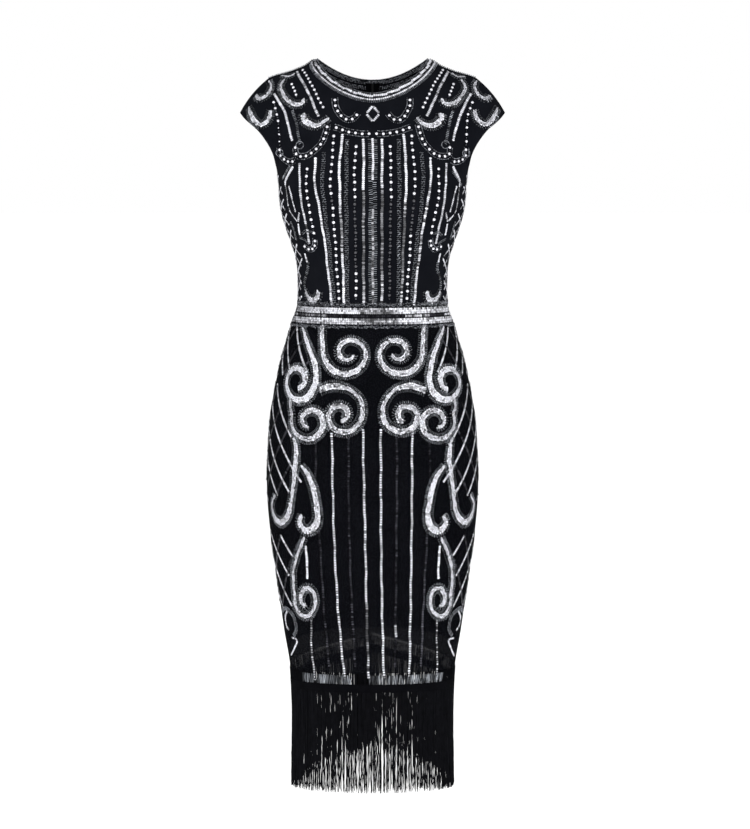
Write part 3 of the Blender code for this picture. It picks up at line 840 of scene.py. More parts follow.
class Embroidery(Sewing):
    """The ways in which sequins, studs and beads are laid in lines."""

    def on_both_sides(self, path, side=FRONT):
        """A drawn path, or the knots of one, and its mirror image, cast onto the cloth."""
        path = curve(*path) if isinstance(path, tuple) else path
        for sign in (-1.0, 1.0):
            yield self.ground.cast(wobbled(path * np.array([sign, 1.0])), side)

    def lay(self, way, rows, side=FRONT, **settings):
        """Sews each row of a table on both sides in one way. A row is its path and its own settings."""
        for path, *own in rows:
            for line in self.on_both_sides(path, side):
                way(line, *own, **settings)

    def glints(self, share):
        """Soft fading in and out along a row, as the light takes hand-laid sequins."""
        knots = len(share) // GLINT_SPOTS + 2
        return 1 - GLINT * along_row(RANDOM.uniform(0, 1, knots), share)

    def line(self, line, width=4.2, tone=1.0, kind="sequins", across=0.0, start=0.0, uneven=0.15,
             loose=False):
        """One row of sequins, lapped or loose. tone may be a run of values, and dull ones are more uneven."""
        spots = Spots(self.ground, line, LOOSE_STEP if loose else SEQUIN_STEP, across, start)
        wide = width * (1 + RANDOM.normal(0, 0.07, len(spots.share)))
        shade = along_row(tone, spots.share)
        uneven = np.where(shade < DULL, np.maximum(uneven, DULL_UNEVEN), uneven)
        self.sew(kind, spots, flat_sizes(LOOSE_SEQUIN if loose else SEQUIN, wide), lift=0.35, lap=SEQUIN_LAP,
                 jitter=6, tone=shade * self.glints(spots.share), uneven=uneven)

    def seeds(self, line, across, tone=0.7, size=SEED, step=SEED_STEP, start=0.0, uneven=0.45, lift=0.7):
        """One row of seed beads."""
        spots = Spots(self.ground, line, step, across, start)
        self.sew("seeds", spots, (size, size, size), lift=lift, tone=tone, uneven=uneven)

    def comb(self, line, width, tone=0.6, across=0.0, step=2.9, start=0.0):
        """Bugles set crosswise along a line."""
        spots = Spots(self.ground, line, step, across, start)
        slant = 90 + RANDOM.normal(0, 6, len(spots.share))
        self.bugles(spots, width, tone, slant)

    def bugles(self, spots, length, tone, slant):
        """A bugle at each spot, turned away from the row by its slant in degrees."""
        self.sew("bugles", spots, (length, TICK_WIDTH, TICK_WIDTH), lift=0.5, jitter=7, tone=tone, uneven=0.5,
                 turn=slant)

    def chain(self, line, spread=2.5, tone=0.3):
        """A zigzag of bugles between two rows of seed beads."""
        for across in (-spread, spread):
            self.seeds(line, across, tone, step=CHAIN_STEP, uneven=0.6)
        spots = Spots(self.ground, line, CHAIN_STEP)
        slant = 90 + CHAIN_SLANT * np.resize((-1, 1), len(spots.share))
        self.bugles(spots, CHAIN_BUGLE, tone, slant)

    def studs(self, line, step=STUD_STEP, size=STUD, outline=0.0, start=3.0, dull=(0, 0)):
        """Studs with a dark seed bead between each two and beads down each side. dull is a span of share."""
        spots = Spots(self.ground, line, step, start=start)
        tone = np.where((spots.share > dull[0]) & (spots.share < dull[1]), DULL_STUD, 1.0)
        self.sew("studs", spots, (size, size, size * 0.8), lift=0.2, jitter=3, tone=tone, uneven=0.06)
        self.seeds(line, 0.0, 0.2, size=3.0, step=step, start=start + step / 2)
        if outline:
            for across in (-outline, outline):
                self.seeds(line, across, 0.45, uneven=0.6)

    def halo(self, line, half_width, tone):
        """Short bugles set outwards along a ribbon like a comb: dimmer and fewer inside a bend."""
        spots = Spots(self.ground, line, BEND_STEP)
        bend = (np.cross(spots.along[:-1], spots.along[1:]) * spots.up[1:]).sum()
        for side in (-1, 1):
            bugle_tone, seed_tone, step = HALO_INSIDE if side * bend > 0 else HALO_OUTSIDE
            middle = beside(side, half_width, TICK_GAP, TICK / 2)
            edge = beside(side, half_width, TICK_GAP, TICK, EDGE_GAP)
            self.comb(line, TICK, tone * bugle_tone, middle, step)
            self.seeds(line, edge, tone * seed_tone, size=1.8, step=TICK_STEP, uneven=0.8)

    def ribbon(self, line, widths, halo=1.0, tone=1.0):
        """A dull core of sequins under four bright rows set lengthwise. widths are given evenly along it."""
        core = Spots(self.ground, line, SEQUIN_STEP)
        size = flat_sizes(SEQUIN, along_row(widths, core.share) * CORE_SHARE)
        self.sew("sequins", core, size, lift=0.3, lap=SEQUIN_LAP, jitter=5, tone=tone * CORE_TONE, uneven=0.4)
        for row in BAR_ROWS:
            def place(share, row=row):
                offset = row * (BAR_REACH - BAR_SHARE) / 3
                return offset * along_row(widths, share) + RANDOM.normal(0, 0.3, len(share))

            bars = Spots(self.ground, line, BAR_STEP, place, RANDOM.uniform(0, BAR_STEP))
            wide = BAR_SHARE * along_row(widths, bars.share) * (1 + RANDOM.normal(0, 0.1, len(bars.share)))
            shade = tone * self.glints(bars.share)
            self.sew("sequins", bars, flat_sizes(BAR, wide), lift=0.9, jitter=6, tone=shade,
                     uneven=BAR_UNEVEN / tone, turn=RANDOM.normal(0, BAR_SLANT, len(wide)))
        if halo:
            self.halo(line, lambda share: along_row(widths, share) * BAR_REACH / 2, halo)


# ---------------------------------------------------------------- ornament: the design

def around(work, z_from, z_to, angle_from, angle_to):
    """A line round the body between two heights and two angles, laid on the cloth."""
    steps = int(abs(angle_to - angle_from) * MM_PER_DEGREE / 2) + int(abs(z_to - z_from) / 2) + 2
    angle = np.radians(np.linspace(angle_from, angle_to, steps))
    z = np.linspace(z_from, z_to, steps)
    x = level("half_width", z) * np.sin(angle)
    front, back = cloth_points(x, z, FRONT), cloth_points(x, z, BACK)
    points = np.where((np.cos(angle) >= 0)[:, None], front, back)
    return work.ground.nearest(points)[0]


def yoke(work, side=FRONT):
    """Studded swags and hooks under the neck, with scrolls and bars out to the sleeves."""
    work.lay(work.studs, (
        (((62, -111), (40, -118), (20, -120.5), (6, -121)), 10.8),
        (((61, -64), (60, -77), (55, -87), (49, -95), (40, -99), (31, -96), (24, -88)), 10.2),
        (((74, -107), (77, -122), (81, -133), (88, -143), (97, -151), (110, -157), (122, -156), (125, -143)),
         10.2),
        (((151, -144), (150, -155), (143, -163), (131, -166), (126, -163)), 10.2),
    ), side, size=5.2, outline=4.8)
    work.lay(work.line, (
        (((122, -21), (104, -56), (87, -94)), 5.2),
        (((159, -57), (144, -84), (130, -132)), 5.2),
    ), side)
    work.lay(work.studs, (
        (((114, -17), (95, -49), (80, -80)), 9.0),
        (((162, -68), (155, -90), (151.5, -124), (151, -140)), 11.2),
        (((132, -39), (128, -49), (123, -63)), 8.0),
    ), side, size=4.8)
    work.lay(work.comb, ((((130, -84), (124, -104), (120, -124), (117, -138)), 4.6, 0.4),), side)
    work.lay(work.ribbon, (
        (((143, -35), (149, -45), (145, -58), (135, -70), (123, -74), (114, -71), (112, -65)),
         (3, 4, 5, 6, 6, 5)),
        (((72, -96), (81, -104), (92, -108), (103, -105), (111, -97), (111, -89)), (4, 5, 6.5, 8, 9, 8)),
        (((201, -79), (197, -91), (190, -102), (182, -107), (173, -102), (167, -93), (165, -83)),
         (3, 6, 7, 6, 5, 4)),
        (((168, -36), (164, -45), (168, -55), (176, -62), (185, -64), (188, -59)), (2.5, 3.5, 4, 5, 6, 5)),
        (((148, -28), (138, -29), (127, -24)), (3, 3.5, 3)),
    ), side, halo=0.6)
    work.lay(work.seeds, ((ring((151, -152), 6), 0.0), (ring((118, -139), 6), 0.0)), side)
    if side == FRONT:
        lozenge(work)


def lozenge(work):
    """A small lozenge of four short bars at the middle of the yoke."""
    for sign in (-1, 1):
        for knots in (((sign * 1.5, -78), (sign * 9, -87)), ((sign * 9, -91), (sign * 1.5, -100))):
            work.line(work.ground.cast(curve(*knots), FRONT), 4.6)


# Each stripe's tones from top to bottom, on the wearer's right and on the left, and its knots
STRIPES = (
    (((1.15, 1.15, 1.15, 1.1, 0.06, 0.18, 0.22, 0.18, 0.12, 0.15, 0.35, 0.5),
      (1.15, 1.15, 1.15, 0.9, 0.05, 0.15, 0.12, 0.12, 0.12, 0.15, 0.35, 0.6)),
     ((15, -131), (15, -207), (14.8, -398))),
    (((1, 1, 1.1, 1.1, 0.5, 0.25, 0.6, 1, 1, 1), (1.1, 1, 1.15, 1.1, 0.12, 0.08, 0.08, 0.15, 0.2, 0.6)),
     ((49.5, -123), (54, -180), (53.5, -215), (51, -267), (46, -398))),
    (((0.95, 1.05, 0.85, 0.8, 1.1, 1, 1, 1, 0.9, 1), (0.95, 1.05, 0.4, 0.55, 0.7, 0.5, 0.6, 0.7, 1, 1)),
     ((93, -161), (93, -207), (85.5, -246), (77.5, -298), (66, -398))),
    (((1.1, 1.1, 0.85, 0.7, 0.7, 0.65, 0.75), (0.8, 1, 0.95, 0.7, 0.7, 0.7, 0.7)),
     ((118, -170), (118, -207), (112, -248), (102, -298))),
)
# The shares of each stud row between which its studs are dull, on the right and on the left, and its knots
STUD_ROWS = (
    (((0.33, 0.82), (0.33, 1.01)), ((27.5, -139), (29.5, -180), (29.5, -210), (28, -290), (26.8, -394))),
    (((0.36, 0.42), (0.36, 0.56)), ((62.5, -122), (67, -175), (68.5, -203), (64, -251), (60.5, -300),
                                    (54.5, -394))),
    (((0, 0), (0, 0)), ((106, -175), (107, -217), (101.5, -248), (94.5, -284))),
)
# Each chain's knots, as a row of its own
CHAINS = (
    (((41.5, -131), (43, -200), (42.5, -267), (41, -396)),),
    (((79, -152), (81.5, -200), (77, -248), (71, -298), (62, -396)),),
)


def bodice(work, side=FRONT):
    """Upright stripes, studs and chains from the yoke to the waist."""
    for tones, knots in STRIPES:
        for tone, line in zip(tones, work.on_both_sides(knots, side)):
            work.line(line, 5.2, tone)
    for dull, knots in STUD_ROWS:
        for span, line in zip(dull, work.on_both_sides(knots, side)):
            work.studs(line, size=5.4, dull=span)
    work.lay(work.chain, CHAINS, side)


def middle_stripe(work):
    """The stripe down the middle of the front: sequins between combs, and broad combs alone halfway down."""
    stripe = wobbled(curve((0, -130), (0, -398)))
    high, middle, low = (work.ground.cast(stripe[(stripe[:, 1] <= top) & (stripe[:, 1] > bottom)], FRONT)
                         for top, bottom in ((-130, -198), (-198, -244), (-244, -400)))
    work.line(high, 4.6, (1.15, 1.15, 1.15, 0.8))
    work.line(low, 4.8, (0.35, 0.25, 0.3, 0.2, 0.3, 0.25))
    for line, tone, reach in ((high, 0.4, 4.7), (low, 0.5, 4.1)):
        for start, across in ((0.0, -reach), (1.9, reach)):
            work.comb(line, 5.2, tone, across, 3.4, start)
    for start, across in ((0.0, -3.2), (1.5, 3.2)):
        work.comb(middle, 6.2, 0.45, across, 3.4, start)


def bodice_sides(work):
    """Scrolls at the sides of the front bodice."""
    work.lay(work.studs, ((((93, -292), (94, -302), (100, -308), (110, -303)), 9.0, 5.0, 4.2),))
    work.lay(work.line, (
        (((130, -175), (136, -187), (141, -199), (139.5, -209)), 5.8, 1.0),
        (((139, -210), (138, -222), (137, -235), (134, -245)), 4.0, 0.45),
        (((134, -246), (129, -255), (122, -263)), 4.6, 1.0),
        (((121, -262), (120, -256), (118, -248)), 4.4, 0.8),
        (((134.5, -207), (130, -228), (125, -249)), 4.2, 1.0),
        (((120, -268), (117, -285)), 4.4, 1.0),
        (((108.5, -316), (106, -329)), 4.8, 1.0),
        (((119, -343), (118, -355), (114, -365)), 4.2, 1.0),
    ))
    work.lay(work.comb, (
        (((132, -178), (138, -188), (145, -200)), 4.0, 0.4, -5.0),
        (((105, -330), (104.5, -339), (107.5, -351), (109.5, -365), (108.5, -374)), 6.0, 0.5),
    ))
    for knots in (((133, -264), (128, -276), (124, -292)), ((117, -290), (110, -294), (104, -300)),
                  ((112, -284), (106, -279), (97, -282))):
        for line in work.on_both_sides(knots):
            work.seeds(line, 0.0, 0.5)
            work.seeds(line, 2.8, 0.3)
    work.lay(work.ribbon, (
        (((108.5, -376), (104, -387), (95.5, -392), (89, -385), (88, -376)), (4, 6, 9, 8, 6), 0.4),
    ))
    crossed_lines(work, BODICE_SIDE, (UNDERARM - 4, WAIST_TOP + 2), 110, (
        (1, 1.5, range(-190, -460, -22), "sequins", 3.8), (-1, 1.5, range(-200, -460, -26), "sequins", 3.4)))


# How near the middle the lattices reach: on the bodice, and on the skirt
BODICE_SIDE = table("z x", [
    (-186, 151), (-205, 146), (-222, 142), (-240, 139), (-256, 134), (-285, 126), (-300, 119), (-322, 112),
    (-340, 114), (-392, 113),
])
SKIRT_SIDE = table("z x", [
    (-426, 116), (-480, 104), (-500, 100), (-505, 138), (-530, 142), (-552, 142), (-562, 137), (-640, 131),
    (-693, 134), (-700, 154), (-725, 168), (-760, 160), (-770, 128), (-798, 126), (-830, 133), (-879, 129),
    (-890, 146), (-900, 150),
])


def crossed_lines(work, edge, levels, turn, families):
    """Slanting lines round the sides of the dress, between two levels and outside an edge.

    Each family is a way to slant, mm of fall per degree, levels at the side seam, kind and width.
    """
    for sign in (-1, 1):
        for way, fall, heights, kind, width in families:
            for height in heights:
                top = height + turn * fall / 2
                angles = 90 + way * turn / 2, 90 - way * turn / 2
                line = around(work, top, top - turn * fall, sign * angles[0], sign * angles[1])
                x, z = np.abs(line[:, 0]), line[:, 2]
                inside = (x > smooth_curve(z, edge["z"], edge["x"])) & (z < levels[0]) & (z > levels[1])
                for run in runs(inside):
                    work.line(line[run], width, 0.35 if kind == "black_sequins" else 1.1, kind, uneven=0.25)


# In points, which lie about 2 mm apart
SHORTEST_RUN = 5


def runs(inside):
    """Slices of a line's points where a condition holds for about a centimetre or more."""
    edges = np.flatnonzero(np.diff(np.concatenate([[0], inside.astype(int), [0]])))
    return [slice(a, b) for a, b in zip(edges[::2], edges[1::2]) if b - a > SHORTEST_RUN]


def skirt_scrolls(work, side=FRONT, halo=1.0):
    """Paired volutes over the hips and long scrolls down to the knee."""
    work.lay(work.ribbon, (
        (volute((39, -476), 41.5, 9, 0, -520, power=1.4, stem=((81.5, -432), (81, -455))),
         (6, 6.5, 7.5, 8.5, 8, 6, 6, 6.5, 7, 3.5), halo, 0.85),
        (volute((120.5, -521), 38, 12.5, 180, 450, aspect=0.75, power=1.4,
                stem=((114, -434), (106, -459), (96, -486))),
         (3.5, 6, 7.5, 8, 10.5, 8, 6, 7.5, 9, 6.5), halo, 1.3),
        (volute((52, -577), 52, 11, 51, 570, power=2.0), (9, 9, 5, 6, 7.5, 8, 8, 7.5, 8, 7), halo, 0.75),
        (volute((102, -588), 32, 8, 20, -450, aspect=0.95, power=0.8, stem=((132, -552), (133, -565))),
         (4.5, 5, 5.5, 6.5, 8, 8.5, 8, 7, 4), halo, 0.85),
        (volute((107, -876.5), 29, 8, 0, -450, aspect=0.63, power=0.7,
                stem=((111, -776), (120, -797), (127, -826), (128, -850))),
         (4, 4.5, 4.5, 5, 6, 6.5, 5, 6, 7.5, 5), halo, 1.0),
        (((127, -614), (124.5, -630), (124, -650), (125.5, -668), (128, -688), (132, -714), (134, -732),
          (140, -745), (148, -751), (155, -746), (160, -736), (162, -718), (158, -705)),
         (4.5, 7, 8, 7.5, 6, 6, 7, 8.5, 9, 7, 4, 4), halo, 1.1),
        (((115, -659), (107, -671), (99, -687), (93, -707), (90, -729), (90, -747), (95, -759), (106, -765),
          (114, -760), (118, -748), (114, -739)),
         (4, 6, 7.5, 8, 7.5, 8, 10, 9.5, 8, 5), halo, 1.1),
    ), side)
    work.lay(work.line, (
        (((107.6, -790), (106.6, -818), (105.8, -843)), 5.0),
        (((139, -895), (141, -902), (140.5, -911), (138, -920), (134, -925)), 5.0),
        (((130, -938), (123, -941), (122.5, -943), (126, -953), (131.5, -966)), 4.0),
    ), side)
    loop = (146, -895), (141, -889), (134, -894), (128, -902), (124, -914), (124, -926), (128, -934)
    for line in work.on_both_sides(loop, side):
        work.comb(line, 3.6, 0.4, step=OUTER_TICK_STEP)
        for across in (-2.6, 2.6):
            work.seeds(line, across, 0.4, uneven=0.6)


# The skirt's upright lines, which lean differently on the wearer's left (x above 0) and right
SKIRT_LINES = (
    ("sequins", 4.7, 0.95, ((-66, -607), (-65, -682), (-62, -787), (-56, -892), (-45.5, -1005))),
    ("sequins", 4.7, (0.9, 0.9, 0.9, 0.9, 0.9, 0.9, 0.9, 0.9, 0.08, 0.08, 0.7, 0.6),
     ((-16, -601), (-14.5, -682), (-12, -787), (-10, -892), (-6.6, -1005))),
    ("sequins", 4.7, 0.95, ((12.8, -601), (13, -682), (13.5, -787), (15, -892), (18, -1005))),
    ("sequins", 4.7, 1.0, ((63.5, -607), (63.5, -682), (62.5, -787), (61, -892), (59, -1005))),
    ("sequins", 4.2, (0.5, 0.3, 0.6, 0.7, 1.1), ((-99.5, -910), (-99, -930), (-98, -967), (-92, -1007))),
    ("sequins", 4.2, (0.75, 0.6, 0.6, 0.6, 1), ((103.4, -910), (103.5, -960), (103.7, -1006))),
    ("black_sequins", 5.0, (0.3, 0.2, 0.3, 0.35), ((-92, -615), (-92, -700), (-85, -790), (-78, -900),
                                                   (-70, -984))),
    ("black_sequins", 5.0, (0.2, 0.15, 0.2, 0.25, 1.2, 0.4), ((92, -615), (92, -700), (87, -790), (81, -900),
                                                              (78, -984))),
    ("black_sequins", 5.0, (0.3, 0.15, 0.3, 0.4, 0.2), ((-39, -607), (-39, -700), (-37, -800), (-33, -900),
                                                        (-28, -984))),
    ("black_sequins", 5.0, (0.2, 0.35, 0.2, 0.2), ((39, -607), (39, -700), (38, -800), (37, -900),
                                                   (36, -984))),
    ("sequins", 4.7, 0.5, ((37, -919), (37, -928), (37, -938))),
)


def skirt_lines(work, side=FRONT):
    """Upright rows of sequins from the volutes to the hem."""
    for kind, width, tones, knots in SKIRT_LINES:
        work.line(work.ground.cast(wobbled(curve(*knots)), side), width, tones, kind, uneven=0.3, loose=True)


def skirt_sides(work):
    """Lattice at the sides of the skirt: bright lines towards the front, broad dark ones away from it."""
    bright = (-354, -406, -442, -481, -524, -572, -615, -680, -732, -786, -838)
    crossed_lines(work, SKIRT_SIDE, (-430, -892), 100, (
        (1, 3.1, bright, "sequins", 4.6), (-1, 3.7, range(-444, -940, -70), "black_sequins", 5.6)))


# The waistband's rows: mm below its top, and tones every 15 degrees from 60 right of the middle to 60 left
WAIST_BANDS = (
    (5.4, (1.2, 1.1, 1.0, 0.3, 0.4, 0.8, 0.75, 0.45, 0.35)),
    (8.5, (1.2, 1.2, 1.15, 0.7, 0.25, 0.2, 0.95, 1.1, 0.8)),
    (11.6, (1.1, 1.1, 1.1, 0.95, 0.15, 0.1, 1.1, 1.15, 0.8)),
    (22.0, (1.2, 1.2, 0.9, 0.4, 0.04, 0.2, 0.8, 0.7, 0.65)),
    (25.1, (1.1, 1.2, 1.15, 0.8, 0.2, 0.5, 1.2, 1.2, 0.95)),
    (28.2, (0.8, 0.9, 0.9, 0.8, 0.2, 0.1, 0.5, 0.9, 0.6)),
)
# Nearly half a turn, so that a line round the body stops short of the middle back
HALF_TURN = 179.6
# The gap between the bands: the angle where each stretch starts, its kind and its tone
WAIST_GAP = (
    (-HALF_TURN, "black_sequins", 0.15), (-165, "sequins", 0.3), (-128, "black_sequins", 0.15),
    (-100, "sequins", 0.8), (-72, "black_sequins", 0.4), (-64, "sequins", 0.3), (-35, "black_sequins", 0.12),
    (25, "sequins", 0.35), (47, "black_sequins", 0.2), (67, "sequins", 0.8), (100, "black_sequins", 0.15),
    (128, "sequins", 0.3), (150, "black_sequins", 0.15), (HALF_TURN, "", 0),
)


WAIST_GAP_DROP = 16.7
# The ropes of beads: mm below the waistband's top, and tone
WAIST_ROPES = ((-3.4, 0.18), (-1.2, 0.4), (1.0, 0.22), (33.0, 0.3), (34.8, 0.4))


def waistband(work):
    """Two bands of sequins with a dull gap between them, and ropes of seed beads along both edges."""
    for drop, tones in WAIST_BANDS:
        z = WAIST_TOP - drop
        all_round = np.pad(tones, len(tones) - 1, mode="reflect")
        line = around(work, z, z, -HALF_TURN, HALF_TURN)
        work.line(line, 4.3, all_round, start=RANDOM.uniform(0, 2), uneven=0.35)
    z = WAIST_TOP - WAIST_GAP_DROP
    for (start, kind, tone), (end, _, _) in zip(WAIST_GAP, WAIST_GAP[1:]):
        work.line(around(work, z, z, start, end), 4.6, tone, kind, uneven=0.5)
    for drop, tone in WAIST_ROPES:
        z = WAIST_TOP - drop
        line = around(work, z, z, -HALF_TURN, HALF_TURN)
        work.seeds(line, lambda share: RANDOM.normal(0, 0.8, len(share)), tone, 2.6, uneven=0.9)


def neck_edge(panels):
    """The edge of the neck opening, from the middle back round by the wearer's right and front."""
    neck = slice(ANGLE_STEPS - NECK_STEPS, ANGLE_STEPS + NECK_STEPS + 1)
    return np.concatenate([
        panels["bodice_back_right"].points[-1, :ANGLE_STEPS - NECK_STEPS - 1:-1],
        panels["bodice_front"].points[-1, neck],
        panels["bodice_back_left"].points[-1, NECK_STEPS - 1::-1],
    ])


# Rows at the neck: mm from its edge, and for the beads beside the sequins their tone
NECK_BEADS = ((-0.8, 0.3), (-15.6, 0.6), (-17.6, 0.4))
SHOULDER_BEADS = (-2.5, -5.0, -7.5, -13.0, -15.5, -18.0)
NECK_STRIPS = 22


def neckline(work, panels):
    """Two rows of sequins round the neck, the first in short strips, with seed beads beside them."""
    edge = neck_edge(panels)
    work.line(edge, 5.4, 1.15, across=lambda share: -4.4 - 2.2 * (share * NECK_STRIPS % 1))
    work.line(edge, 3.8, 1.1, across=-12.6)
    for across, tone in NECK_BEADS:
        work.seeds(edge, across, tone)
    work.line(edge, 3.0, 0.4, "black_sequins", -9.6)
    for part in (edge[:NECK_STEPS + 1], edge[-NECK_STEPS - 1:]):
        work.seeds(part, 0.0, 0.6, lift=0.0)
        for across in SHOULDER_BEADS:
            work.seeds(part, across, 0.9, uneven=0.8, lift=-SHELL - 0.5)


def seams(work, panels):
    """Small beads along the shoulder seams."""
    front = panels["bodice_front"].points[-1]
    for line in (front[:ANGLE_STEPS - NECK_STEPS], front[-ANGLE_STEPS + NECK_STEPS:]):
        work.seeds(line, 0.0, 0.5, 2.8, 3.1, uneven=0.7)


HEADING_ROW = 2
HEADING_SPANS = ((-114, -33), (-8, 114))
# Of the front and of the back
HEADING_TONE = (1.55, 0.7)
HEADING_STITCH = (15, 1.0, 0.8)
HEADING_STEP = 1.5


def heading(work, panels):
    """Pale upright stitches in the open strip over the fringe's tape, denser in some places."""
    for name in ("skirt_front", "skirt_back_left", "skirt_back_right"):
        row = panels[name].points[HEADING_ROW]
        for low, high in HEADING_SPANS:
            line = row[(row[:, 0] > low) & (row[:, 0] < high)]
            if len(line) < 2:
                continue
            spots = Spots(work.ground, line, HEADING_STEP)
            count = len(spots.share)
            thick = HEADING_TONE[name != "skirt_front"] * along_row(
                RANDOM.uniform(0, 1, count // 7 + 2), spots.share) ** 1.5
            tone = thick * RANDOM.uniform(0, 1.3, count)
            work.sew("bugles", spots, HEADING_STITCH, lift=0.5, jitter=3, tone=tone,
                     turn=90 + RANDOM.normal(0, 7, count))


def back_work(work):
    """A plainer version of the front on the back."""
    yoke(work, BACK)
    bodice(work, BACK)
    skirt_scrolls(work, BACK, 0)
    skirt_lines(work, BACK)


# ---------------------------------------------------------------- fringe

STRANDS = 740
OVERLAP_STRANDS = 110
OVERLAP_SHARE = (-0.165, 0.005)
STRAND_RINGS = 13
STRAND_SIDES = 4
CLUMP_SHARE = 0.3
CLUMP_PULL = 0.42
HEADING_PULL = 0.65
END_UNEVEN = 5.0
KINK = 0.5
LENGTH_SPARE = 5
# The share of a strand above the tape's lower edge, and how far strands stray as shares of the width
TAPE_SHARE = 0.16
STRAY = 0.0035
WAVER = 0.003

# A strand's radius along its free length
STRAND = table("share radius", [(0, 0.22), (0.1, 0.22), (0.17, 0.44), (0.5, 0.45), (0.85, 0.46), (1.0, 0.36)])


def fringe(name, side, material):
    """Free strands from the mesh's edge, through the tape and down to their uneven ends."""
    share = np.linspace(-1, 1, STRANDS) + RANDOM.uniform(-4, 4, STRANDS) / STRANDS
    if side == BACK:
        share = np.append(share, RANDOM.uniform(*OVERLAP_SHARE, OVERLAP_STRANDS))
    share = np.sort(share)
    count = len(share)
    clumps = np.cumsum(RANDOM.uniform(0, 1, count) < CLUMP_SHARE)
    centres = np.array([share[clumps == c].mean() for c in clumps])
    angles = angle_columns() / (math.pi / 2)
    hem = hem_levels(side)
    ends = FRONT_FRINGE_END + (arch(BACK_FRINGE_RISE) if side == BACK else 0 * hem)
    down = np.linspace(0, 1, STRAND_RINGS)
    top = np.interp(np.abs(share), angles, hem) + MESH_OVER_TAPE
    end = np.interp(np.abs(share), angles, ends) + RANDOM.normal(0, END_UNEVEN, count)
    end = np.maximum(end, FRONT_FRINGE_END - LENGTH_SPARE)
    z = top[:, None] + (end - top)[:, None] * down
    free = np.clip((down - TAPE_SHARE) / (1 - TAPE_SHARE), 0, 1)
    narrow = np.sin(np.clip(down / TAPE_SHARE, 0, 1) * math.pi)
    pull = CLUMP_PULL * np.clip(free * 2.2, 0, 1) + HEADING_PULL * narrow
    place = share[:, None] + (centres - share)[:, None] * pull
    place += RANDOM.normal(0, STRAY, (count, 1)) * free**1.3
    place += RANDOM.normal(0, WAVER, (count, STRAND_RINGS)) * np.sqrt(free)
    angle = np.clip(place, -1, 1) * math.pi / 2
    x = level("half_width", z) * np.sin(angle)
    centre = cloth_points(x, z, side)
    outward = unit(centre * np.array([1.0, 1.0, 0.0]))
    depth = 1.0 - RANDOM.uniform(0, 2.0, (count, 1)) + RANDOM.normal(0, KINK, (count, STRAND_RINGS)) * free
    centre = centre + outward * depth[:, :, None]
    radii = RANDOM.uniform(0.85, 1.15, (count, 1)) * np.interp(down, STRAND["share"], STRAND["radius"])
    return tube(name, centre, radii, material)


def tube(name, centres, radii, material):
    """Upright tubes, each round its own line of centres, joined into one mesh."""
    strands, rings = centres.shape[:2]
    turn = circle(STRAND_SIDES)
    section = np.stack([np.cos(turn), np.sin(turn), 0 * turn], axis=1)
    points = centres[:, :, None] + section * radii[:, :, None, None]
    number = np.arange(strands * rings * STRAND_SIDES).reshape(strands, rings, STRAND_SIDES)
    following = np.roll(number, -1, axis=2)
    quads = [number[:, 1:], following[:, 1:], following[:, :-1], number[:, :-1]]
    faces = np.stack([q.reshape(-1) for q in quads], axis=1)
    length = np.concatenate([np.zeros((strands, 1)), np.cumsum(
        np.linalg.norm(np.diff(centres, axis=1), axis=2), axis=1)], axis=1)
    grid = np.stack(np.broadcast_arrays(np.arange(STRAND_SIDES) * 1.0, length[:, :, None]), axis=-1)
    next_side = grid + np.array([1.0, 0.0])
    uv = [part.reshape(-1, 2) for part in (grid[:, 1:], next_side[:, 1:], next_side[:, :-1], grid[:, :-1])]
    mesh = new_mesh(name, points.reshape(-1, 3), faces, np.stack(uv, axis=1).reshape(-1, 2))
    close_ends(mesh)
    return new_object(name, mesh, material)


def close_ends(mesh):
    """Closes both ends of every tube."""
    bm = bmesh.new()
    bm.from_mesh(mesh)
    bmesh.ops.holes_fill(bm, edges=[e for e in bm.edges if e.is_boundary], sides=STRAND_SIDES)
    bm.to_mesh(mesh)
    bm.free()


# ---------------------------------------------------------------- materials

WHITE = (1, 1, 1, 1)
GLOSSY_IOR = 1.5
MATT_IOR = 1.08


def add_node(tree, kind, values=None, **settings):
    """A shader node with its settings and inputs. An input is a value, or a socket to link from."""
    node = tree.nodes.new(kind)
    for key, value in settings.items():
        setattr(node, key, value)
    for key, value in (values or {}).items():
        if isinstance(value, bpy.types.NodeSocket):
            tree.links.new(value, node.inputs[key])
        else:
            node.inputs[key].default_value = value
    return node


def new_material(name, roughness, metallic=0.0, specular=0.5, sheen=0.0, alpha=1.0):
    """A principled material, and its tree and shader."""
    material = bpy.data.materials.new(name)
    material.use_nodes = True
    shader = material.node_tree.nodes["Principled BSDF"]
    for key, value in {
        "Roughness": roughness, "Metallic": metallic, "Specular IOR Level": specular,
        "IOR": GLOSSY_IOR if specular > 0.1 else MATT_IOR, "Sheen Weight": sheen, "Sheen Roughness": 0.5,
        "Alpha": alpha,
    }.items():
        shader.inputs[key].default_value = value
    return material, material.node_tree, shader


def combined(tree, operation, first, second):
    """Two values or sockets through one step of arithmetic."""
    return add_node(tree, "ShaderNodeMath", {0: first, 1: second}, operation=operation).outputs[0]


def ranged(tree, value, low, high, start=0.0, end=1.0):
    """A value that runs from start to end, moved to run from low to high."""
    return add_node(tree, "ShaderNodeMapRange", {
        "Value": value, "From Min": start, "From Max": end, "To Min": low, "To Max": high}).outputs["Result"]


def set_colour(tree, shader, factor, dark, light):
    """The shader's colour runs between two colours with a factor."""
    ramp = add_node(tree, "ShaderNodeValToRGB", {"Fac": factor})
    ramp.color_ramp.elements[0].color = (*dark, 1)
    ramp.color_ramp.elements[1].color = (*light, 1)
    tree.links.new(ramp.outputs["Color"], shader.inputs["Base Color"])


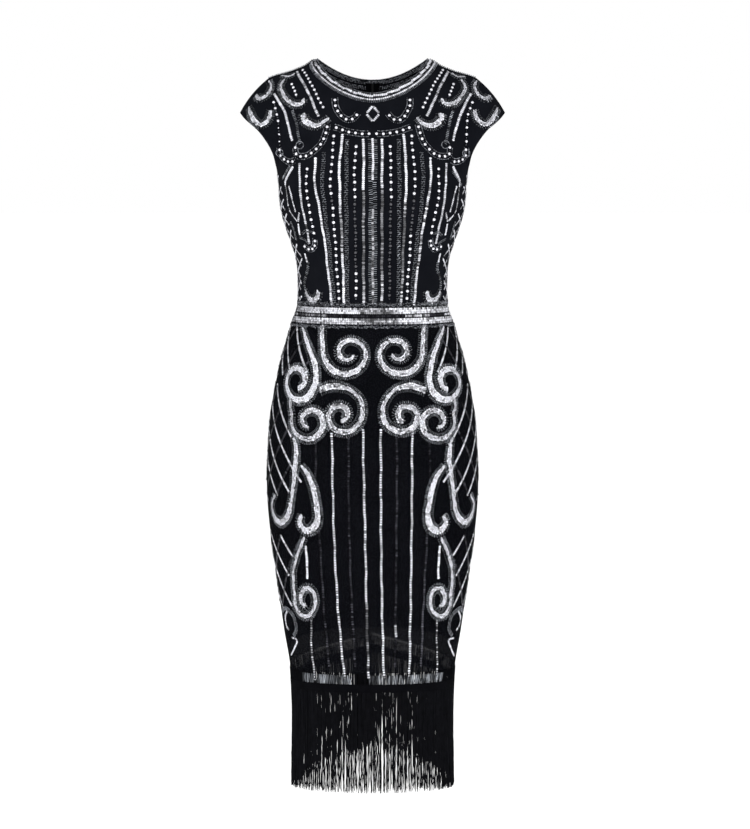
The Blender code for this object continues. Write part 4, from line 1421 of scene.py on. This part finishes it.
def set_bump(tree, shader, height, strength, distance):
    """The shader's surface rises with a height, by a distance in millimetres."""
    bump = add_node(tree, "ShaderNodeBump", {
        "Height": height, "Strength": strength, "Distance": distance * MM})
    tree.links.new(bump.outputs["Normal"], shader.inputs["Normal"])


# A wave texture's own period in metres at scale 1, and the net's threads: mm apart, degrees from upright
WAVE_PERIOD = math.pi / 10
NET_THREAD = 1.1
NET_LEAN = 30


def threads(tree, period, turn):
    """Parallel threads a period apart, in millimetres, turned from upright by degrees."""
    place = add_node(tree, "ShaderNodeUVMap", uv_map="weave")
    mapped = add_node(tree, "ShaderNodeMapping", {
        "Vector": place.outputs["UV"], "Rotation": (0, 0, math.radians(turn))})
    wave = add_node(tree, "ShaderNodeTexWave", {
        "Vector": mapped.outputs["Vector"], "Scale": WAVE_PERIOD / (period * MM), "Distortion": 0.0})
    return wave.outputs["Fac"]


def noise(tree, size):
    """Soft noise with features of a size in millimetres, in the object's own space."""
    place = add_node(tree, "ShaderNodeTexCoord")
    return add_node(tree, "ShaderNodeTexNoise", {
        "Vector": place.outputs["Object"], "Scale": 1 / (size * MM), "Detail": 3.0}).outputs["Fac"]


def set_roughness(tree, shader, size, low, high):
    """The shader's roughness runs between two values, in patches of a size in millimetres."""
    tree.links.new(ranged(tree, noise(tree, size), low, high), shader.inputs["Roughness"])


def net_material(name, alpha, low, high):
    """Black stretch net, between two colours."""
    material, tree, shader = new_material(name, 0.8, specular=0.03, sheen=0.008, alpha=alpha)
    first, second = (threads(tree, NET_THREAD, lean) for lean in (NET_LEAN, -NET_LEAN))
    crossed = combined(tree, "MAXIMUM", first, second)
    set_bump(tree, shader, crossed, 0.6, 0.25)
    set_colour(tree, shader, combined(tree, "MULTIPLY", crossed, noise(tree, 40)), low, high)
    return material


def lining_material():
    """Smooth black jersey."""
    material, tree, shader = new_material("lining_jersey", 0.6, specular=0.04, sheen=0.006)
    set_bump(tree, shader, threads(tree, 0.6, 0), 0.3, 0.1)
    set_colour(tree, shader, noise(tree, 30), (0.0012, 0.0013, 0.0018), (0.003, 0.0032, 0.0045))
    return material


def tape_material(name):
    """Woven black tape."""
    material, tree, shader = new_material(name, 0.75, specular=0.03, sheen=0.006)
    set_bump(tree, shader, combined(tree, "ADD", threads(tree, 0.9, 45), threads(tree, 2.6, 90)), 0.8, 0.3)
    set_colour(tree, shader, noise(tree, 12), (0.002, 0.002, 0.0026), (0.005, 0.0052, 0.0068))
    return material


def sewn_material(name, dark, light, roughness, metallic=1.0, cupped=False):
    """Metal-coated things sewn on, each with its own tone. A cupped one has a dark hole and a painted shade
    at its rim.
    """
    material, tree, shader = new_material(name, roughness, metallic)
    tone = add_node(tree, "ShaderNodeAttribute", attribute_name="tone").outputs["Fac"]
    if cupped:
        rim = add_node(tree, "ShaderNodeAttribute", attribute_name="rim").outputs["Fac"]
        hole_and_rim_shade = add_node(tree, "ShaderNodeValToRGB", {"Fac": rim})
        stops = hole_and_rim_shade.color_ramp.elements
        # The dark hole is the sequin's own; the darkening towards the rim is painted shade
        stops[0].position, stops[0].color = 0.08, (0.15, 0.15, 0.15, 1)
        stops[1].position, stops[1].color = 0.97, (0.06, 0.06, 0.06, 1)
        for position in (0.16, 0.78):
            stops.new(position).color = WHITE
        tone = combined(tree, "MULTIPLY", tone, hole_and_rim_shade.outputs["Color"])
    set_colour(tree, shader, tone, dark, light)
    set_roughness(tree, shader, 5, roughness * 0.7, roughness * 1.4)
    set_bump(tree, shader, noise(tree, 0.7), 0.15, 0.1)
    return material


def fringe_material():
    """Lustrous twisted rayon."""
    material, tree, shader = new_material("fringe_rayon", 0.5, specular=0.08, sheen=0.01)
    set_bump(tree, shader, threads(tree, 1.4, 55), 0.7, 0.2)
    set_colour(tree, shader, noise(tree, 9), (0.0028, 0.0029, 0.0036), (0.0085, 0.0088, 0.0115))
    return material


def enamel_material():
    """Black enamelled metal, rubbed a little."""
    material, tree, shader = new_material("black_enamel", 0.3, metallic=0.4, specular=0.5)
    set_colour(tree, shader, noise(tree, 2.5), (0.008, 0.008, 0.009), (0.03, 0.03, 0.032))
    set_roughness(tree, shader, 1.2, 0.2, 0.45)
    set_bump(tree, shader, noise(tree, 0.6), 0.1, 0.05)
    return material


# ---------------------------------------------------------------- the zip


def zip_panel(panels):
    """The zip's tape, from the back panels' own points beside the middle back seam."""
    parts = []
    for name in ("skirt_back_left", "waistband_back_left", "bodice_back_left"):
        panel = panels[name]
        keep = slice(None) if name.startswith("bodice") else slice(0, -1)
        parts.append((panel.points[keep, :3], panel.normals[keep, :3]))
    points, normals = (np.concatenate([part[i] for part in parts]) for i in (0, 1))
    covered = (points[:, 0, 2] >= ZIP_END) & (points[:, 0, 2] <= ZIP_TOP)
    points, normals = points[covered].copy(), normals[covered].copy()
    for column, reach in ((1, ZIP_TAPE_WIDTH / 4), (2, ZIP_TAPE_WIDTH / 2)):
        share = (reach / points[:, 2, 0])[:, None]
        points[:, column] = points[:, 0] + (points[:, 2] - points[:, 0]) * share
    return Panel(whole(points), whole(normals))


def zip_coil(panel, material):
    """The coil's turns across the inside of the tape's middle."""
    middle = panel.points.shape[1] // 2
    depth = ZIP_TAPE_DEPTH + ZIP_TAPE_THICKNESS + COIL_LIFT
    line = panel.points[:, middle] - panel.normals[:, middle] * depth
    places, slopes, _ = evenly(line, COIL_PITCH)
    across = np.tile([1.0, 0.0, 0.0], (len(places), 1))
    axes = np.stack([across, slopes, np.cross(across, slopes)], axis=1)
    sizes = np.tile([COIL_WIDTH, COIL_WIRE, COIL_LIFT * 2], (len(places), 1))
    return new_object("zip_coil", new_mesh("zip_coil", *copies("bugles", places, axes, sizes)), material)


# ---------------------------------------------------------------- stage

FLOOR_LEVEL = -1290.0
FLOOR_RADIUS = 30000.0
FLOOR_SIDES = 64


def make_stage():
    """A plain white floor. The white studio's soft light from all round, most from above and in front, is the
    world's.
    """
    edge = np.array([(FLOOR_RADIUS * math.cos(turn), FLOOR_RADIUS * math.sin(turn), FLOOR_LEVEL)
                     for turn in circle(FLOOR_SIDES)])
    material, _, shader = new_material("floor_paint", 0.9, specular=0.0)
    shader.inputs["Base Color"].default_value = (0.9, 0.9, 0.9, 1)
    shader.inputs["Emission Color"].default_value = WHITE
    shader.inputs["Emission Strength"].default_value = 0.6
    floor = new_object("floor", new_mesh("floor", edge, np.arange(FLOOR_SIDES)[None]), material)
    floor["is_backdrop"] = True


def make_world():
    """White for the eye. For light, a soft uneven sky, brightest in front of the dress and above it."""
    world = bpy.data.worlds.new("studio")
    bpy.context.scene.world = world
    world.use_nodes = True
    tree = world.node_tree
    tree.nodes.clear()
    direction = add_node(tree, "ShaderNodeTexCoord").outputs["Generated"]
    parts = add_node(tree, "ShaderNodeSeparateXYZ", {"Vector": direction})
    front = ranged(tree, parts.outputs["Y"], 0.3, 1.15, 1.0, -1.0)
    above = ranged(tree, parts.outputs["Z"], 0.6, 1.15, -1.0, 1.0)
    clouds = add_node(tree, "ShaderNodeTexNoise", {"Vector": direction, "Scale": 4.0, "Detail": 1.0})
    patchy = ranged(tree, clouds.outputs["Fac"], 0.35, 1.25, 0.35, 0.65)
    shade = combined(tree, "MULTIPLY", combined(tree, "MULTIPLY", front, above), patchy)
    light = add_node(tree, "ShaderNodeBackground", {"Color": WHITE, "Strength": shade})
    seen = add_node(tree, "ShaderNodeBackground", {"Color": WHITE, "Strength": 1.0})
    path = add_node(tree, "ShaderNodeLightPath")
    mixed = add_node(tree, "ShaderNodeMixShader", {
        0: path.outputs["Is Camera Ray"], 1: light.outputs[0], 2: seen.outputs[0]})
    add_node(tree, "ShaderNodeOutputWorld", {"Surface": mixed.outputs[0]})


# Soft lights, by name: place and size in metres, and power in watts
LIGHTS = {"key": ((-2.2, -3.4, 1.6), 1.6, 60), "fill": ((2.6, -3.0, 0.4), 1.6, 35)}
MIDDLE = Vector((0, 0, -0.5))


def add_softbox(name, place, size, power):
    """An area light that faces the middle of the dress."""
    light = bpy.data.lights.new(name, "AREA")
    light.shape = "DISK"
    light.size = size
    light.energy = power
    obj = bpy.data.objects.new(name, light)
    obj.location = place
    obj.rotation_euler = (MIDDLE - Vector(place)).to_track_quat("-Z", "Y").to_euler()
    bpy.context.scene.collection.objects.link(obj)


def make_camera():
    """The camera that takes the picture."""
    camera = bpy.data.cameras.new("camera")
    camera.sensor_fit = "AUTO"
    camera.sensor_width = SENSOR
    camera.lens = FOCAL_PIXELS * SENSOR / LONG_SIDE_PIXELS
    camera.clip_start = 0.1
    camera.clip_end = 200.0
    obj = bpy.data.objects.new("camera", camera)
    obj.location = Vector(EYE) * MM
    obj.rotation_euler = (math.radians(90 - LOOK_DOWN), 0, 0)
    bpy.context.scene.collection.objects.link(obj)
    bpy.context.scene.camera = obj


# ---------------------------------------------------------------- the dress


def add_cloth(panels, materials):
    """A thin shell for each outer piece of cloth."""
    made = {}
    for name, panel in panels.items():
        material = materials["sheer" if name.startswith("skirt") else "net"]
        obj = shell(name + "_cloth", panel, SHELL, material)
        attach(obj, "dress")
        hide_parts(name)
        made[name] = obj
    return made


def declare(obj, panel, with_pieces=()):
    """Works out the flat size that a sheet of cloth was cut to, and keeps none of it."""
    width, length, area = panel.cut()
    min(area, width * length)
    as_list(with_pieces)


def add_lining(materials):
    """The front and back lining, each with its hem's own rise to the middle."""
    for side, name, rise in (
        (FRONT, "lining_front", LINING_FRONT_RISE), (BACK, "lining_back", LINING_BACK_RISE),
    ):
        half = level_rows(WAIST_BOTTOM, LINING_SIDE_HEM + rise * np.cos(angle_columns()), LINING_ROWS, side)
        panel = creased(whole(half), whole(half_normals(half, side)), side)
        obj = shell(name + "_cloth", panel, SHELL, materials["lining"], LINING_DEPTH)
        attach(obj, "dress")
        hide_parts(name)
        declare(obj, panel)


def add_fringes(materials):
    """The two lengths of tape and their strands."""
    for side, name in ((FRONT, "front"), (BACK, "back")):
        hem = hem_levels(side)
        half = level_rows(hem + TAPE_ABOVE_HEM, hem - TAPE_BELOW_HEM, TAPE_ROWS, side)
        panel = Panel(whole(half), whole(half_normals(half, side)))
        tape = shell("fringe_tape_" + name + "_cloth", panel, SHELL, materials["tape"], -TAPE_STANDS_OUT)
        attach(tape, "dress")
        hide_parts("fringe_tape_" + name)
        strands = fringe("fringe_" + name + "_strands", side, materials["fringe"])
        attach(strands, "dress")
        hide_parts("fringe_" + name)
        declare(tape, panel, [strands])


def add_zip(panels, materials):
    """The zip's tape and coil, and the enamel on its slider and pull."""
    panel = zip_panel(panels)
    tape = shell("zip_tape_cloth", panel, ZIP_TAPE_THICKNESS, materials["tape"], ZIP_TAPE_DEPTH)
    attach(tape, "dress")
    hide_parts("zip_tape")
    coil = zip_coil(panel, materials["enamel"])
    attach(coil, "dress")
    declare(tape, panel, [coil])
    for name in ("zip_slider", "zip_pull"):
        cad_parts[name].data.materials.clear()
        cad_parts[name].data.materials.append(materials["enamel"])


def make_materials():
    """Every material of the dress, by its use."""
    return {
        "net": net_material("net_backed", 1.0, (0.003, 0.0034, 0.005), (0.012, 0.013, 0.017)),
        "sheer": net_material("net_sheer", 0.77, (0.002, 0.0022, 0.0032), (0.008, 0.0085, 0.011)),
        "lining": lining_material(),
        "tape": tape_material("woven_tape"),
        "fringe": fringe_material(),
        "enamel": enamel_material(),
        "sequins": sewn_material("silver_sequins", (0.01, 0.01, 0.012), (0.92, 0.93, 1.0), 0.4, 0.4,
                                 cupped=True),
        "studs": sewn_material("silver_studs", (0.03, 0.03, 0.035), (0.93, 0.93, 1.0), 0.25, 0.6),
        "bugles": sewn_material("gunmetal_bugles", (0.02, 0.021, 0.024), (0.5, 0.53, 0.58), 0.3, 0.8),
        "seeds": sewn_material("gunmetal_seeds", (0.02, 0.021, 0.024), (0.46, 0.48, 0.53), 0.3, 0.8),
        "black_sequins": sewn_material("black_sequins", (0.004, 0.004, 0.005), (0.11, 0.11, 0.13), 0.35,
                                       cupped=True),
    }


def embroider():
    """All that is sewn on, laid on cloth that reaches down to the tape."""
    panels = make_panels(0.0)
    work = Embroidery(Ground(panels))
    yoke(work)
    bodice(work)
    middle_stripe(work)
    bodice_sides(work)
    waistband(work)
    skirt_scrolls(work)
    skirt_lines(work)
    skirt_sides(work)
    neckline(work, panels)
    seams(work, panels)
    heading(work, panels)
    back_work(work)
    return work


def build():
    """The whole scene."""
    materials = make_materials()
    make_camera()
    make_world()
    make_stage()
    panels = make_panels(MESH_OVER_TAPE)
    cloth = add_cloth(panels, materials)
    sewn = defaultdict(list)
    for panel, obj in embroider().pieces(materials):
        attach(obj, "dress")
        sewn[panel].append(obj)
    for name, panel in panels.items():
        declare(cloth[name], panel, sewn[name])
    add_lining(materials)
    add_fringes(materials)
    add_zip(panels, materials)
    for name, settings in LIGHTS.items():
        add_softbox(name, *settings)
    bpy.context.scene.view_settings.view_transform = "Standard"


def write_sizes():
    """The box of the solids and the box of what shows, in metres."""
    boxes = {"cad": CAD_BOX, "visual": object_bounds()}
    {name: [list(corner) for corner in box] for name, box in boxes.items()}


build()
write_sizes()
